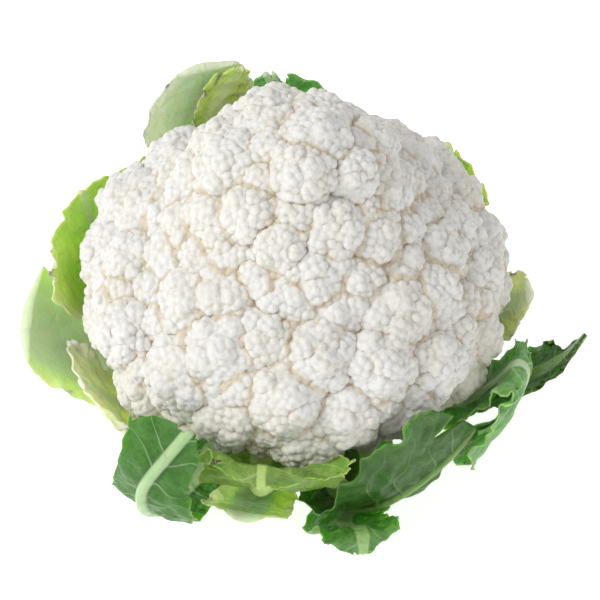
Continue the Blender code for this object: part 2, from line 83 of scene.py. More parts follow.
# %% [markdown]
# The light is soft and white, and a little stronger from the upper left: the left of the curd is
# almost as white as the paper, and its lower right side is in soft shade. One large lamp gives
# that direction, a weaker one fills the right, and the rest comes from a white sky.

# %% Light
SKY_STRENGTH = 0.52
LAMPS = {
    "key": {"place": (-1.1, -0.35, 1.2), "size": 1.0, "power": 15.0},
    "fill": {"place": (1.2, -0.9, 0.9), "size": 1.2, "power": 2.5},
}

world = bpy.data.worlds.new("studio")
world.use_nodes = True
sky = world.node_tree.nodes["Background"]
sky.inputs["Color"].default_value = (1.0, 1.0, 1.0, 1.0)
sky.inputs["Strength"].default_value = SKY_STRENGTH
scene.world = world
scene.view_settings.view_transform = "Standard"
for name, lamp in LAMPS.items():
    light = bpy.data.lights.new(name, "AREA")
    light.shape = "DISK"
    light.size = lamp["size"]
    light.energy = lamp["power"]
    lamp_object = bpy.data.objects.new(name, light)
    lamp_object.location = lamp["place"]
    lamp_object.rotation_euler = Vector(lamp["place"]).to_track_quat("Z", "Y").to_euler()
    scene.collection.objects.link(lamp_object)
print("lamps:", len(LAMPS))

# %% [markdown]
# Writing node trees as sums
#
# Geometry and shader trees are both made of nodes, and most of their nodes do arithmetic. `Field`
# wraps a socket so that arithmetic on it adds the Math nodes, and `Tree.add` adds any other node:
# first its settings, then the values or links of its sockets.

# %% Node helpers
class Field:
    """A socket's value, which may differ from place to place on a surface."""

    def __init__(self, tree, socket):
        self.tree = tree
        self.socket = socket

    def maths(self, operation, *others):
        inputs = dict(enumerate((self, *others)))
        return self.tree.add("ShaderNodeMath", {"operation": operation}, inputs)

    def __add__(self, other):
        return self.maths("ADD", other)

    def __sub__(self, other):
        return self.maths("SUBTRACT", other)

    def __rsub__(self, other):
        return self.maths("MULTIPLY_ADD", -1.0, other)

    def __mul__(self, other):
        return self.maths("MULTIPLY", other)

    def __truediv__(self, other):
        return self.maths("DIVIDE", other)

    def __pow__(self, other):
        return self.maths("POWER", other)

    def steps(self, low, high):
        """Ease from 0 at the low value to 1 at the high one."""
        span = {"Value": self, "From Min": low, "From Max": high}
        return self.tree.add("ShaderNodeMapRange", {"interpolation_type": "SMOOTHSTEP"}, span)

    __radd__ = __add__
    __rmul__ = __mul__


# %% Node trees
class Tree:
    """Adds nodes to one node tree."""

    def __init__(self, node_tree):
        self.node_tree = node_tree

    def add(self, kind, settings=None, inputs=None, output=0):
        node = self.node_tree.nodes.new(kind)
        for name, value in (settings or {}).items():
            setattr(node, name, value)
        for name, value in (inputs or {}).items():
            self.feed(node.inputs[name], value)
        return Field(self, node.outputs[output])

    def feed(self, socket, value):
        if isinstance(value, Field):
            self.node_tree.links.new(value.socket, socket)
        else:
            socket.default_value = value

    def vectors(self, operation, inputs, output=0):
        return self.add("ShaderNodeVectorMath", {"operation": operation}, inputs, output)


class Finish(Tree):
    """A material with one Principled shader, whose unchanging values are set on its sockets."""

    def __init__(self, name, **constants):
        self.material = bpy.data.materials.new(name)
        self.material.use_nodes = True
        super().__init__(self.material.node_tree)
        self.shader = self.node_tree.nodes["Principled BSDF"]
        self.paint(**constants)

    def paint(self, **values):
        """Set or feed the shader's own sockets, named with an underscore for each space."""
        for socket, value in values.items():
            self.feed(self.shader.inputs[socket.replace("_", " ")], value)

    def part(self, vector, axis):
        return self.add("ShaderNodeSeparateXYZ", inputs={0: vector}, output=axis)

    def attribute(self, name, output="Fac"):
        return self.add("ShaderNodeAttribute", {"attribute_name": name}, output=output)

    def noise(self, size, detail=3.0, place=None):
        place = place or self.add("ShaderNodeTexCoord", output="Object")
        inputs = {"Vector": place, "Scale": 1 / size, "Detail": detail}
        return self.add("ShaderNodeTexNoise", inputs=inputs)

    def cells(self, size, place, feature="DISTANCE_TO_EDGE"):
        inputs = {"Vector": place, "Scale": 1 / size}
        return self.add("ShaderNodeTexVoronoi", {"feature": feature}, inputs)

    def mix(self, share, first, second):
        inputs = {"Factor": share, 6: first, 7: second}
        return self.add("ShaderNodeMix", {"data_type": "RGBA"}, inputs, output=2)

    def bump(self, height, depth):
        inputs = {"Height": height, "Distance": depth, "Strength": 1.0}
        return self.add("ShaderNodeBump", inputs=inputs)


def srgb(red, green, blue):
    """A colour as the eye reads it from 0 to 255, made linear for the shader."""
    share = np.array((red, green, blue)) / 255
    linear = np.where(share > 0.04045, ((share + 0.055) / 1.055) ** 2.4, share / 12.92)
    return (*(float(value) for value in linear), 1.0)


print("a grey of 128 is", round(srgb(128, 128, 128)[0], 3), "in linear light")

# %% [markdown]
# The floor is plain pale board. It stands only for the table of a studio, and does not belong to
# the cauliflower.

# %% Floor
FLOOR_SIZE = 30.0
FLOOR_GLOW = 0.75
BOARD_GRAIN = 0.004

floor_finish = Finish("pale_board", Roughness=0.9, Emission_Strength=FLOOR_GLOW)
tone = floor_finish.noise(BOARD_GRAIN, detail=2.0).steps(0.3, 0.7)
board = floor_finish.mix(tone, srgb(214, 214, 214), srgb(218, 218, 218))
floor_finish.paint(Base_Color=board, Emission_Color=(1.0, 1.0, 1.0, 1.0))
floor_mesh = bmesh.new()
bmesh.ops.create_grid(floor_mesh, size=FLOOR_SIZE / 2)
floor_data = bpy.data.meshes.new("floor")
floor_mesh.to_mesh(floor_data)
floor_mesh.free()
floor_data.materials.append(floor_finish.material)
floor = bpy.data.objects.new("floor", floor_data)
scene.collection.objects.link(floor)
print("floor:", FLOOR_SIZE, "m wide")

# %% [markdown]
# The curd
#
# A curd is a fractal: the head is a dome of florets, a floret is a dome of lumps, and a lump is a
# dome of beads, the flower buds that never opened. Each level winds out by the golden angle. The
# solids hold the first two levels, and the numbers here are theirs. A sculpted skin could follow
# the photograph bud by bud, but it would hold for this one head. The rule gives a whole curd.
#
# The first level is a spiral of directions from the curd's middle, and how far the dome lies
# along each of them.

# %% The dome and its spiral
CURD_RADIUS = 85.0
CURD_RISE = 80.0
CURD_CENTRE_HEIGHT = 68.0
FLORETS = 96
FLORET_CROWDING = 1.10
FLORET_LAST_ANGLE = math.radians(108)
FLORET_SWELL = 1.20
SHOULDER_SLOPE = 0.24
SHOULDER_POWER = 1.5
GOLDEN_ANGLE = math.pi * (3 - math.sqrt(5))
CURD_RADII = np.array((CURD_RADIUS, CURD_RADIUS, CURD_RISE))


def unit(vectors):
    """The vectors, each at length one."""
    return vectors / np.linalg.norm(vectors, axis=-1, keepdims=True)


def golden_directions(count, crowding, last_angle):
    """Unit vectors wound out from +Z by the golden angle, as far as the last angle."""
    share = ((np.arange(count) + 0.5) / count) ** crowding
    cosine = 1 - share * (1 - math.cos(last_angle))
    sine = np.sqrt(1 - cosine**2)
    azimuth = np.arange(count) * GOLDEN_ANGLE
    return np.stack((sine * np.cos(azimuth), sine * np.sin(azimuth), cosine), axis=1)


def floret_radii():
    """Half the spacing of the florets, wider towards the rim, with a little overlap."""
    mean_radius = (2 * CURD_RADIUS + CURD_RISE) / 3
    area = 2 * math.pi * mean_radius**2 * (1 - math.cos(FLORET_LAST_ANGLE)) / FLORETS
    share = (np.arange(FLORETS) + 0.5) / FLORETS
    areas = area * FLORET_CROWDING * share ** (FLORET_CROWDING - 1)
    return FLORET_SWELL * np.sqrt(areas / math.pi)


def dome(directions):
    """How far the curd's skin lies along each direction, apart from its lumps."""
    bend = np.maximum(directions[..., 2], 0) ** SHOULDER_POWER
    shoulder = SHOULDER_SLOPE * 4 * bend * (1 - bend)
    return np.linalg.norm(directions * CURD_RADII, axis=-1) * (1 - shoulder)


print("half widths of florets:", *floret_radii()[[0, -1]].round(1), "mm")

# %% [markdown]
# A floret's skin is the outside of its lumps and of a ball in their middle. A ray from the
# floret's middle leaves the last of these spheres at the skin, and where it leaves two of them
# together there is a crease.

# %% Lumps
LUMPS = 16
LUMP_LAST_ANGLE = math.radians(104)
LUMP_SHARE = 0.32
LUMP_DEPTH = 0.11
LUMP_UNEVENNESS = 0.32
LUMP_STRAY = 0.12
LUMP_CREASE = 0.7


def lumps_of(middle, radius, count, rng):
    """The turn of a floret, and the centres and the radii of its lumps."""
    outward = unit(middle / CURD_RADII**2)
    turn = Vector(outward).to_track_quat("Z", "Y").to_matrix()
    turn = np.array(turn @ Matrix.Rotation(rng.uniform(0, math.tau), 3, "Z"))
    centres = []
    radii = []
    for lump in golden_directions(count, 1.0, LUMP_LAST_ANGLE):
        unevenness = rng.uniform(-LUMP_UNEVENNESS, LUMP_UNEVENNESS)
        stray = Vector([rng.uniform(-LUMP_STRAY, LUMP_STRAY) for axis in "xyz"])
        lump_radius = LUMP_SHARE * radius * (1 + unevenness)
        centres.append(turn @ unit(lump + np.array(stray)) * (radius - lump_radius))
        radii.append(lump_radius)
    centres.append(np.zeros(3))
    radii.append(radius * (1 - LUMP_DEPTH))
    return turn, np.array(centres), np.array(radii)


def reach_of_spheres(directions, centres, radii):
    """How far each ray goes before it leaves the last sphere, and how close it passes a crease."""
    along = directions @ centres.T
    inside = radii**2 - (centres**2).sum(axis=1) + along**2
    reach = np.where(inside > 0, along + np.sqrt(np.maximum(inside, 0)), 0)
    second, last = np.partition(reach, -2, axis=1)[:, -2:].T
    return last, np.exp((second - last) / LUMP_CREASE)


print("lumps:", LUMPS, "on a floret, each about", LUMP_SHARE, "of its width")

# %% [markdown]
# The florets stray a little from the spiral and differ in size. That leaves gaps, so small florets
# follow, each of them where the skin made so far lies deepest under the dome.

# %% The florets' places
CURD_SEED = 37
FLORET_UNEVENNESS = 0.02
FLORET_STRAY = 0.05
FLORET_SIZE_RANGE = 0.2
FILLERS = 38
FILLER_RADIUS = 10.0
FILLER_TOP = 0.95
FILLER_TRIALS = 4000
FILLER_LAST_ANGLE = math.radians(105)


def floret_places():
    """The middles and the radii of the florets, and of the small ones in the gaps between them."""
    rng = random.Random(CURD_SEED)
    middles = []
    sizes = []
    directions = golden_directions(FLORETS, FLORET_CROWDING, FLORET_LAST_ANGLE)
    for direction, radius in zip(directions, floret_radii()):
        stray = Vector([rng.uniform(-FLORET_STRAY, FLORET_STRAY) for axis in "xyz"])
        direction = unit(direction + np.array(stray))
        radius *= 1 + rng.uniform(-FLORET_SIZE_RANGE, FLORET_SIZE_RANGE)
        stretch = 1 + rng.uniform(-FLORET_UNEVENNESS, FLORET_UNEVENNESS)
        spoke = direction * CURD_RADII
        length = dome(direction) * stretch
        middles.append(spoke / np.linalg.norm(spoke) * (length - radius))
        sizes.append(radius)
    trials = golden_directions(FILLER_TRIALS, 1.0, FILLER_LAST_ANGLE)
    spokes = unit(trials * CURD_RADII)
    for filler in range(FILLERS):
        reach = reach_of_spheres(spokes, np.array(middles), np.array(sizes))[0]
        gap = np.argmin(reach / dome(trials))
        length = dome(trials[gap]) * FILLER_TOP
        middles.append(spokes[gap] * (length - FILLER_RADIUS))
        sizes.append(FILLER_RADIUS)
    return np.array(middles), np.array(sizes)


middles, sizes = floret_places()
print("florets:", FLORETS, "and", FILLERS, "small ones, up to", sizes.max().round(1), "mm")

# %% [markdown]
# Every floret is its own ball. Its points are pushed out from its middle to its skin, and are
# crowded towards its outer side, where they are seen.

# %% Balls and meshes
SEEN_SHARE = 0.45
SEEN_POINTS = 0.90
FLORET_SUBDIVISIONS = 4


def ball(subdivisions, cuts=0):
    """Points on a sphere of radius one, and the triangles between them."""
    mesh_data = bmesh.new()
    bmesh.ops.create_icosphere(mesh_data, subdivisions=subdivisions, radius=1.0)
    edges = mesh_data.edges[:] if cuts else []
    bmesh.ops.subdivide_edges(mesh_data, edges=edges, cuts=cuts, use_grid_fill=True)
    points = unit(np.array([vertex.co for vertex in mesh_data.verts]))
    faces = np.array([[vertex.index for vertex in face.verts] for face in mesh_data.faces])
    mesh_data.free()
    return points, faces


def crowded_outwards(points):
    """Move a sphere's points towards +Z, so that most of them lie on the outer side."""
    share = (1 - points[:, 2]) / 2
    rest = (share - SEEN_POINTS) / (1 - SEEN_POINTS)
    share = np.where(
        share < SEEN_POINTS,
        share * SEEN_SHARE / SEEN_POINTS,
        SEEN_SHARE + rest * (1 - SEEN_SHARE),
    )
    height = 1 - 2 * share
    level = np.sqrt(np.maximum(1 - height**2, 0))
    spoke = points[:, :2] / np.maximum(np.hypot(points[:, 0], points[:, 1]), 1e-9)[:, None]
    return np.column_stack((spoke * level[:, None], height))


def make_mesh(name, points, faces, fields=None):
    """A smooth mesh from points in millimetres, with its named values at the points."""
    mesh = bpy.data.meshes.new(name)
    mesh.vertices.add(len(points))
    mesh.vertices.foreach_set("co", (points * MILLIMETRE).astype(np.float32).ravel())
    sides = faces.shape[1]
    mesh.loops.add(faces.size)
    mesh.loops.foreach_set("vertex_index", faces.astype(np.int32).ravel())
    mesh.polygons.add(len(faces))
    mesh.polygons.foreach_set("loop_start", np.arange(0, faces.size, sides, dtype=np.int32))
    mesh.update(calc_edges=True)
    mesh.shade_smooth()
    for field, values in (fields or {}).items():
        kind = "FLOAT_VECTOR" if values.ndim == 2 else "FLOAT"
        attribute = mesh.attributes.new(field, kind, "POINT")
        key = "vector" if values.ndim == 2 else "value"
        attribute.data.foreach_set(key, values.astype(np.float32).ravel())
    mesh.validate()
    return mesh


def add_piece(name, mesh):
    """Put a mesh in the scene as a piece of the cauliflower."""
    piece = bpy.data.objects.new(name, mesh)
    scene.collection.objects.link(piece)
    return piece


print("points on a ball before cuts:", len(ball(FLORET_SUBDIVISIONS)[0]))

# %% [markdown]
# Sixteen florets share a piece, so that no piece's mesh grows too large. A piece also stores how
# near each point lies to a crease between lumps and to the next floret, for painted shade there.

# %% Florets
PIECE_FLORETS = 16
FLORET_CUTS = 2
FILLER_CUTS = 1
FILLER_LUMPS = 8
CREVICE_SHARE = 0.95
LUMP_SEED = 5


def grow_florets(name, numbers, cuts, lump_count):
    """One piece that holds the florets with these numbers."""
    ball_points, ball_faces = ball(FLORET_SUBDIVISIONS, cuts)
    ball_points = crowded_outwards(ball_points)
    points = []
    faces = []
    creases = []
    crevices = []
    for place, number in enumerate(numbers):
        middle = middles[number]
        turn, centres, radii = lumps_of(middle, sizes[number], lump_count, lump_rng)
        directions = ball_points @ turn.T
        reach, crease = reach_of_spheres(directions, centres, radii)
        skin = middle + directions * reach[:, None]
        near = np.linalg.norm(middles - middle, axis=1) < sizes + sizes[number]
        near[number] = False
        away = np.linalg.norm(skin[:, None] - middles[near], axis=-1) - sizes[near] * CREVICE_SHARE
        points.append(skin + (0, 0, CURD_CENTRE_HEIGHT))
        faces.append(ball_faces + place * len(ball_points))
        creases.append(crease)
        crevices.append(np.maximum(away.min(axis=1), 0))
    fields = {"lump_edge": np.concatenate(creases), "crevice": np.concatenate(crevices)}
    mesh = make_mesh(name, np.concatenate(points), np.concatenate(faces), fields)
    return add_piece(name, mesh)


lump_rng = random.Random(LUMP_SEED)
floret_pieces = []
for first in range(0, FLORETS, PIECE_FLORETS):
    name = f"curd_florets_{first // PIECE_FLORETS + 1}"
    numbers = range(first, first + PIECE_FLORETS)
    floret_pieces.append(grow_florets(name, numbers, FLORET_CUTS, LUMPS))
fillers = range(FLORETS, FLORETS + FILLERS)
floret_pieces.append(grow_florets("curd_small_florets", fillers, FILLER_CUTS, FILLER_LUMPS))
print("pieces of florets:", len(floret_pieces))

# %% [markdown]
# The beads are strewn over the lumps by Geometry Nodes. Points at an even spacing are scattered on
# the skin, and each point of the skin asks for the nearest one. Close to it the skin rises to the
# top of a dome, and half way to the next one it sinks in a crease. Instanced balls would need
# four times the faces, and would hide half of them. The tree also stores how near the crease
# each point is, so that the finish can paint shade in it.

# %% Beads
BEAD_SPACING = 2.3
BEAD_HEIGHT = 1.1
BEAD_REACH = 0.78
BEAD_SIZE_RANGE = 0.35
WARP_SIZE = 14.0
WARP = 1.6
BEAD_SEED = 3
BEAD_TRIES = 2.5e6
BEAD_INPUTS = {
    "Spacing": "Float", "Height": "Float", "Warp": "Float", "Seed": "Int", "Finish": "Material",
}


def bead_tree():
    """The node tree that warps a skin a little and raises beads on it."""
    group = bpy.data.node_groups.new("beads", "GeometryNodeTree")
    sockets = {}
    group.interface.new_socket("Skin", in_out="INPUT", socket_type="NodeSocketGeometry")
    for name, kind in BEAD_INPUTS.items():
        socket = group.interface.new_socket(name, in_out="INPUT", socket_type="NodeSocket" + kind)
        sockets[name] = socket.identifier
    group.interface.new_socket("Curd", in_out="OUTPUT", socket_type="NodeSocketGeometry")
    tree = Tree(group)
    given = group.nodes.new("NodeGroupInput").outputs
    skin, spacing, height, warp, seed, finish = (Field(tree, given[index]) for index in range(6))

    place = tree.add("GeometryNodeInputPosition")
    noise = tree.add(
        "ShaderNodeTexNoise",
        inputs={"Vector": place, "Scale": 1 / (WARP_SIZE * MILLIMETRE), "Detail": 2.0},
        output="Color",
    )
    centred = tree.vectors("SUBTRACT", {0: noise, 1: (0.5, 0.5, 0.5)})
    sway = tree.vectors("SCALE", {0: centred, "Scale": warp})
    skin = tree.add("GeometryNodeSetPosition", inputs={"Geometry": skin, "Offset": sway})

    settings = {"distribute_method": "POISSON"}
    scatter = {"Mesh": skin, "Distance Min": spacing, "Density Max": BEAD_TRIES, "Seed": seed}
    dots = tree.add("GeometryNodeDistributePointsOnFaces", settings, scatter)
    limits = {2: 1 - BEAD_SIZE_RANGE, 3: 1 + BEAD_SIZE_RANGE, "Seed": seed}
    size = tree.add("FunctionNodeRandomValue", {"data_type": "FLOAT"}, limits, output=1)
    nearest = tree.add("GeometryNodeSampleNearest", {"domain": "POINT"}, {"Geometry": dots})
    where, size = (
        tree.add(
            "GeometryNodeSampleIndex",
            {"data_type": kind, "domain": "POINT"},
            {"Geometry": dots, "Value": value, "Index": nearest},
        )
        for kind, value in (("FLOAT_VECTOR", place), ("FLOAT", size))
    )
    gap = tree.vectors("DISTANCE", {0: place, 1: where}, "Value")
    away = gap / (spacing * BEAD_REACH)
    dome = (1 - (away * away).maths("MINIMUM", 1.0)).maths("SQRT")
    normal = tree.add("GeometryNodeInputNormal")
    rise = tree.vectors("SCALE", {0: normal, "Scale": dome * size * height})
    curd = tree.add("GeometryNodeSetPosition", inputs={"Geometry": skin, "Offset": rise})
    settings = {"data_type": "FLOAT", "domain": "POINT"}
    inputs = {"Geometry": curd, "Name": "bead_edge", "Value": away}
    curd = tree.add("GeometryNodeStoreNamedAttribute", settings, inputs)
    curd = tree.add("GeometryNodeRealizeInstances", inputs={"Geometry": curd})
    curd = tree.add("GeometryNodeSetMaterial", inputs={"Geometry": curd, "Material": finish})
    result = group.nodes.new("NodeGroupOutput")
    group.links.new(curd.socket, result.inputs[0])
    return group, sockets


def grow(piece, group, values):
    """Run a geometry tree on a piece with these inputs, and keep the result as its plain mesh."""
    modifier = piece.modifiers.new("growth", "NODES")
    modifier.node_group = group
    for identifier, value in values.items():
        modifier[identifier] = value
    piece.update_tag()
    graph = bpy.context.evaluated_depsgraph_get()
    mesh = bpy.data.meshes.new_from_object(piece.evaluated_get(graph), depsgraph=graph)
    piece.modifiers.remove(modifier)
    piece.data = mesh


beads, bead_sockets = bead_tree()
print("nodes in the tree of beads:", len(beads.nodes))

# %% [markdown]
# A fresh curd is white. Warm painted shade darkens its hollows: cream in the creases between beads
# and between lumps, tan down the crevices between florets, and brown in the deepest crevices. Its
# foot is a little green, partly its own colour and partly painted green light and shade from the
# leaves round it. Light also soaks in, which the subsurface value stands for. It is kept small,
# because light that soaks far is lost where two florets cross, and draws a dark line there. The
# deepest crevices are told by how far a point lies inside the curd's dome.

# %% Curd finish
GREEN_FOOT = (0.02, 0.08)
DEEP_SHADE_SHARES = (0.77, 0.88)
CREVICE_SHADE_WIDTH = 1.0
CURD_PATCH_SIZE = 0.020
BUD_SIZE = 0.0013
BUD_RELIEF = 0.00022

curd_finish = Finish(
    "curd_bead",
    Roughness=0.55,
    Subsurface_Weight=0.3,
    Subsurface_Radius=(1.0, 0.9, 0.75),
    Subsurface_Scale=0.001,
    Specular_IOR_Level=0.35,
)
place = curd_finish.add("ShaderNodeTexCoord", output="Object")
centre = (0, 0, CURD_CENTRE_HEIGHT * MILLIMETRE)
spoke = curd_finish.vectors("SUBTRACT", {0: place, 1: centre})
spoke = curd_finish.vectors("DIVIDE", {0: spoke, 1: tuple(CURD_RADII * MILLIMETRE)})
share = curd_finish.vectors("LENGTH", {0: spoke}, "Value")
bend = (curd_finish.part(spoke, "Z") / share).maths("MAXIMUM", 0.0) ** SHOULDER_POWER
low = 1 - curd_finish.part(place, "Z").steps(*GREEN_FOOT)
deep = 1 - (share / (1 - 4 * SHOULDER_SLOPE * bend * (1 - bend))).steps(*DEEP_SHADE_SHARES)
crevice = 1 - curd_finish.attribute("crevice").steps(0.0, CREVICE_SHADE_WIDTH)
bead_edge = curd_finish.attribute("bead_edge")
lump_edge = curd_finish.attribute("lump_edge")
patches = curd_finish.noise(CURD_PATCH_SIZE).steps(0.35, 0.65)
colour = curd_finish.mix(patches, srgb(233, 233, 231), srgb(229, 227, 221))
# Painted shade: cream in the creases between beads and between lumps, tan in the crevices between
# florets.
colour = curd_finish.mix(bead_edge.steps(0.6, 1.1) * 0.3, colour, srgb(226, 219, 204))
colour = curd_finish.mix(lump_edge.steps(0.3, 1.0) * 0.3, colour, srgb(216, 206, 184))
colour = curd_finish.mix(crevice * 0.6, colour, srgb(208, 188, 152))
# Partly the foot's own green, partly painted green light and shade from the leaves round it.
colour = curd_finish.mix(low * 0.7, colour, srgb(206, 203, 162))
# Painted shade: brown in the deepest crevices, far inside the curd's dome.
colour = curd_finish.mix(deep * 0.8, colour, srgb(176, 138, 88))
fine_buds = curd_finish.cells(BUD_SIZE, place, "F1")
curd_finish.paint(Base_Color=colour, Normal=curd_finish.bump(1 - fine_buds, BUD_RELIEF))
print("nodes in the curd's finish:", len(curd_finish.node_tree.nodes))

# %% [markdown]
# Now the beads grow on each piece of florets. Two calls then say what a finished piece is: the
# body that carries it, and the solid that it stands for, which is hidden.

# %% Beads on the florets
for number, piece in enumerate(floret_pieces):
    values = {
        "Spacing": BEAD_SPACING * MILLIMETRE,
        "Height": BEAD_HEIGHT * MILLIMETRE,
        "Warp": WARP * MILLIMETRE,
        "Seed": BEAD_SEED + number,
        "Finish": curd_finish.material,
    }
    grow(piece, beads, {bead_sockets[name]: value for name, value in values.items()})
    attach(piece, BODY)
    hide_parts("curd")
print("beads on", sum(len(piece.data.polygons) for piece in floret_pieces), "triangles")

# %% [markdown]
# Branches and stalk
#
# Under the florets the branches run together, down a ribbed cone to the top of the stalk. Little
# of this is seen: a glimpse between the florets, and the underside between the leaf bases. One
# skin round the curd's middle is enough for it, pushed out to the nearest of three bounds: a
# dome inside the florets, the cone, and the flat foot. The ribs fork once on their way out.

# %% Branches
CORE_SHARE = 0.86
CURD_FOOT_RADIUS = 23.0
CURD_FOOT_HEIGHT = 26.35
CONE_RIM_RADIUS = 66.0
CONE_RIM_HEIGHT = 40.0
BRANCHES = 11
BRANCH_DEPTH = 2.0
TWIG_DEPTH = 1.6
CORE_SUBDIVISIONS = 6
BRANCH_SHADE_HEIGHTS = (0.026, 0.060)
STREAK_SIZE = 0.006
STREAK_RELIEF = 0.0004
NEARLY_ZERO = 1e-6


def reach_of_core(directions):
    """How far each ray goes inside the core, which ends in the ribbed cone and the flat foot."""
    level = np.hypot(directions[:, 0], directions[:, 1])
    rise = directions[:, 2]
    inside = CORE_SHARE * dome(unit(directions / CURD_RADII))
    foot_drop = CURD_CENTRE_HEIGHT - CURD_FOOT_HEIGHT
    foot = foot_drop / np.maximum(-rise, NEARLY_ZERO)
    run = CONE_RIM_RADIUS - CURD_FOOT_RADIUS
    climb = CONE_RIM_HEIGHT - CURD_FOOT_HEIGHT
    slant = math.hypot(run, climb)
    distance = (climb * CURD_FOOT_RADIUS + run * foot_drop) / slant
    approach = (climb * level - run * rise) / slant
    cone = distance / np.maximum(approach, NEARLY_ZERO)
    azimuth = np.arctan2(directions[:, 1], directions[:, 0])
    outwards = np.clip((cone * level - CURD_FOOT_RADIUS) / run, 0, 1)
    groove = BRANCH_DEPTH * (0.5 - 0.5 * np.cos(BRANCHES * azimuth))
    groove += TWIG_DEPTH * outwards * (0.5 + 0.5 * np.cos(2 * BRANCHES * azimuth))
    cone *= 1 - groove / distance
    return np.minimum(np.minimum(inside, foot), cone)


branch_finish = Finish(
    "branch",
    Roughness=0.5,
    Subsurface_Weight=0.3,
    Subsurface_Radius=(1.0, 0.9, 0.5),
    Subsurface_Scale=0.002,
)
streaks = branch_finish.noise(STREAK_SIZE, detail=4.0).steps(0.35, 0.65)
place = branch_finish.add("ShaderNodeTexCoord", output="Object")
# Painted shade: higher up, where the branches show only deep in the gaps between florets, they turn
# brown.
up = branch_finish.part(place, "Z").steps(*BRANCH_SHADE_HEIGHTS)
colour = branch_finish.mix(streaks, srgb(214, 218, 186), srgb(228, 228, 206))
colour = branch_finish.mix(up, colour, srgb(170, 140, 96))
branch_finish.paint(Base_Color=colour, Normal=branch_finish.bump(streaks, STREAK_RELIEF))

directions, faces = ball(CORE_SUBDIVISIONS)
points = directions * reach_of_core(directions)[:, None] + (0, 0, CURD_CENTRE_HEIGHT)
branches = add_piece("curd_branches", make_mesh("curd_branches", points, faces))
branches.data.materials.append(branch_finish.material)
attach(branches, BODY)
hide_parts("curd")
print("branches:", BRANCHES, "triangles", len(faces))

# %% [markdown]
# The stalk is a stump, cut flat. Its side has low ridges that wind up it and the scars of leaves
# that were pulled off, and its cut face shows a pale pith in a ring of tough strands. It is
# turned like a pot: one outline of radius and height for the whole way round, and each point
# then swells by a formula of its azimuth and its height.

# %% Stalk
STALK_HEIGHT = 26.0
STALK_FOOT_RADIUS = 20.5
STALK_TOP_RADIUS = 22.5
STALK_CHAMFER = 1.0
STALK_RIDGES = 5
STALK_RIDGE_HEIGHT = 0.6
STALK_TWIST = math.radians(40)
STALK_SIDES = 144
STALK_RINGS = 48
FACE_RINGS = 24
SCARS = ((0.3, 9.0), (1.9, 6.5), (3.4, 11.0), (5.1, 7.5))
SCAR_WIDTH = 0.28
SCAR_HEIGHT = 2.2
SCAR_DEPTH = 0.7
SCAR_DROOP = 6.0
LIP_PITCH = 1.5


def stalk_mesh():
    """The stump's closed skin: the cut face, the side and the top, in rings from the middle out."""
    face = np.linspace(0, 1, FACE_RINGS)[1:]
    rise = np.linspace(0, 1, STALK_RINGS)
    side_radius = STALK_FOOT_RADIUS + (STALK_TOP_RADIUS - STALK_FOOT_RADIUS) * rise
    side_height = STALK_CHAMFER + (STALK_HEIGHT - 2 * STALK_CHAMFER) * rise
    face_radius = (STALK_FOOT_RADIUS - STALK_CHAMFER) * face
    top_radius = (STALK_TOP_RADIUS - STALK_CHAMFER) * face[::-1]
    radius = np.concatenate((face_radius, side_radius, top_radius))
    flat = np.zeros(len(face))
    height = np.concatenate((flat, side_height, flat + STALK_HEIGHT))
    azimuth = np.arange(STALK_SIDES) * math.tau / STALK_SIDES
    turn = azimuth + STALK_TWIST * height[:, None] / STALK_HEIGHT
    swell = STALK_RIDGE_HEIGHT * np.cos(STALK_RIDGES * turn)
    for scar_azimuth, scar_height in SCARS:
        aside = (azimuth - scar_azimuth + math.pi) % math.tau - math.pi
        above = height[:, None] - scar_height - SCAR_DROOP * aside**2
        lip = np.exp(-((aside / SCAR_WIDTH) ** 4) - (above / SCAR_HEIGHT) ** 2)
        swell = swell + SCAR_DEPTH * lip * np.sin(LIP_PITCH * above)
    swell *= (radius / STALK_TOP_RADIUS)[:, None] ** 2
    around = radius[:, None] + swell
    points = np.stack(
        (
            around * np.cos(azimuth),
            around * np.sin(azimuth),
            np.broadcast_to(height[:, None], around.shape),
        ),
        axis=-1,
    ).reshape(-1, 3)
    rings = len(radius)
    number = np.arange(rings * STALK_SIDES).reshape(rings, STALK_SIDES)
    following = np.roll(number, -1, axis=1)
    corners = (number[:-1], following[:-1], following[1:], number[1:])
    quads = np.stack([corner.ravel() for corner in corners], axis=1)
    low, high = len(points), len(points) + 1
    points = np.concatenate((points, [(0, 0, 0), (0, 0, STALK_HEIGHT)]))
    below = [(low, after, before) for before, after in zip(number[0], following[0])]
    above = [(high, before, after) for before, after in zip(number[-1], following[-1])]
    triangles = np.concatenate((quads[:, :3], quads[:, [0, 2, 3]], below, above))
    return make_mesh("stalk_stump", points, triangles)


stalk_skin = stalk_mesh()
print("stalk triangles:", len(stalk_skin.polygons))

# %% [markdown]
# The rind is green and drawn out in fibres along the stalk. The cut shows the ends of its strands:
# small dots in the pith, and a ring where they stand close together.

# %% Stalk finish
FIBRE_SIZE = 0.0014
FIBRE_SHORTENING = (1.0, 1.0, 0.2)
CUT_HEIGHTS = (0.0003, 0.0012)
STRAND_SIZE = 0.0016
RING_INSIDE = (0.0125, 0.0140)
RING_OUTSIDE = (0.0165, 0.0180)
RIND_RELIEF = 0.0004

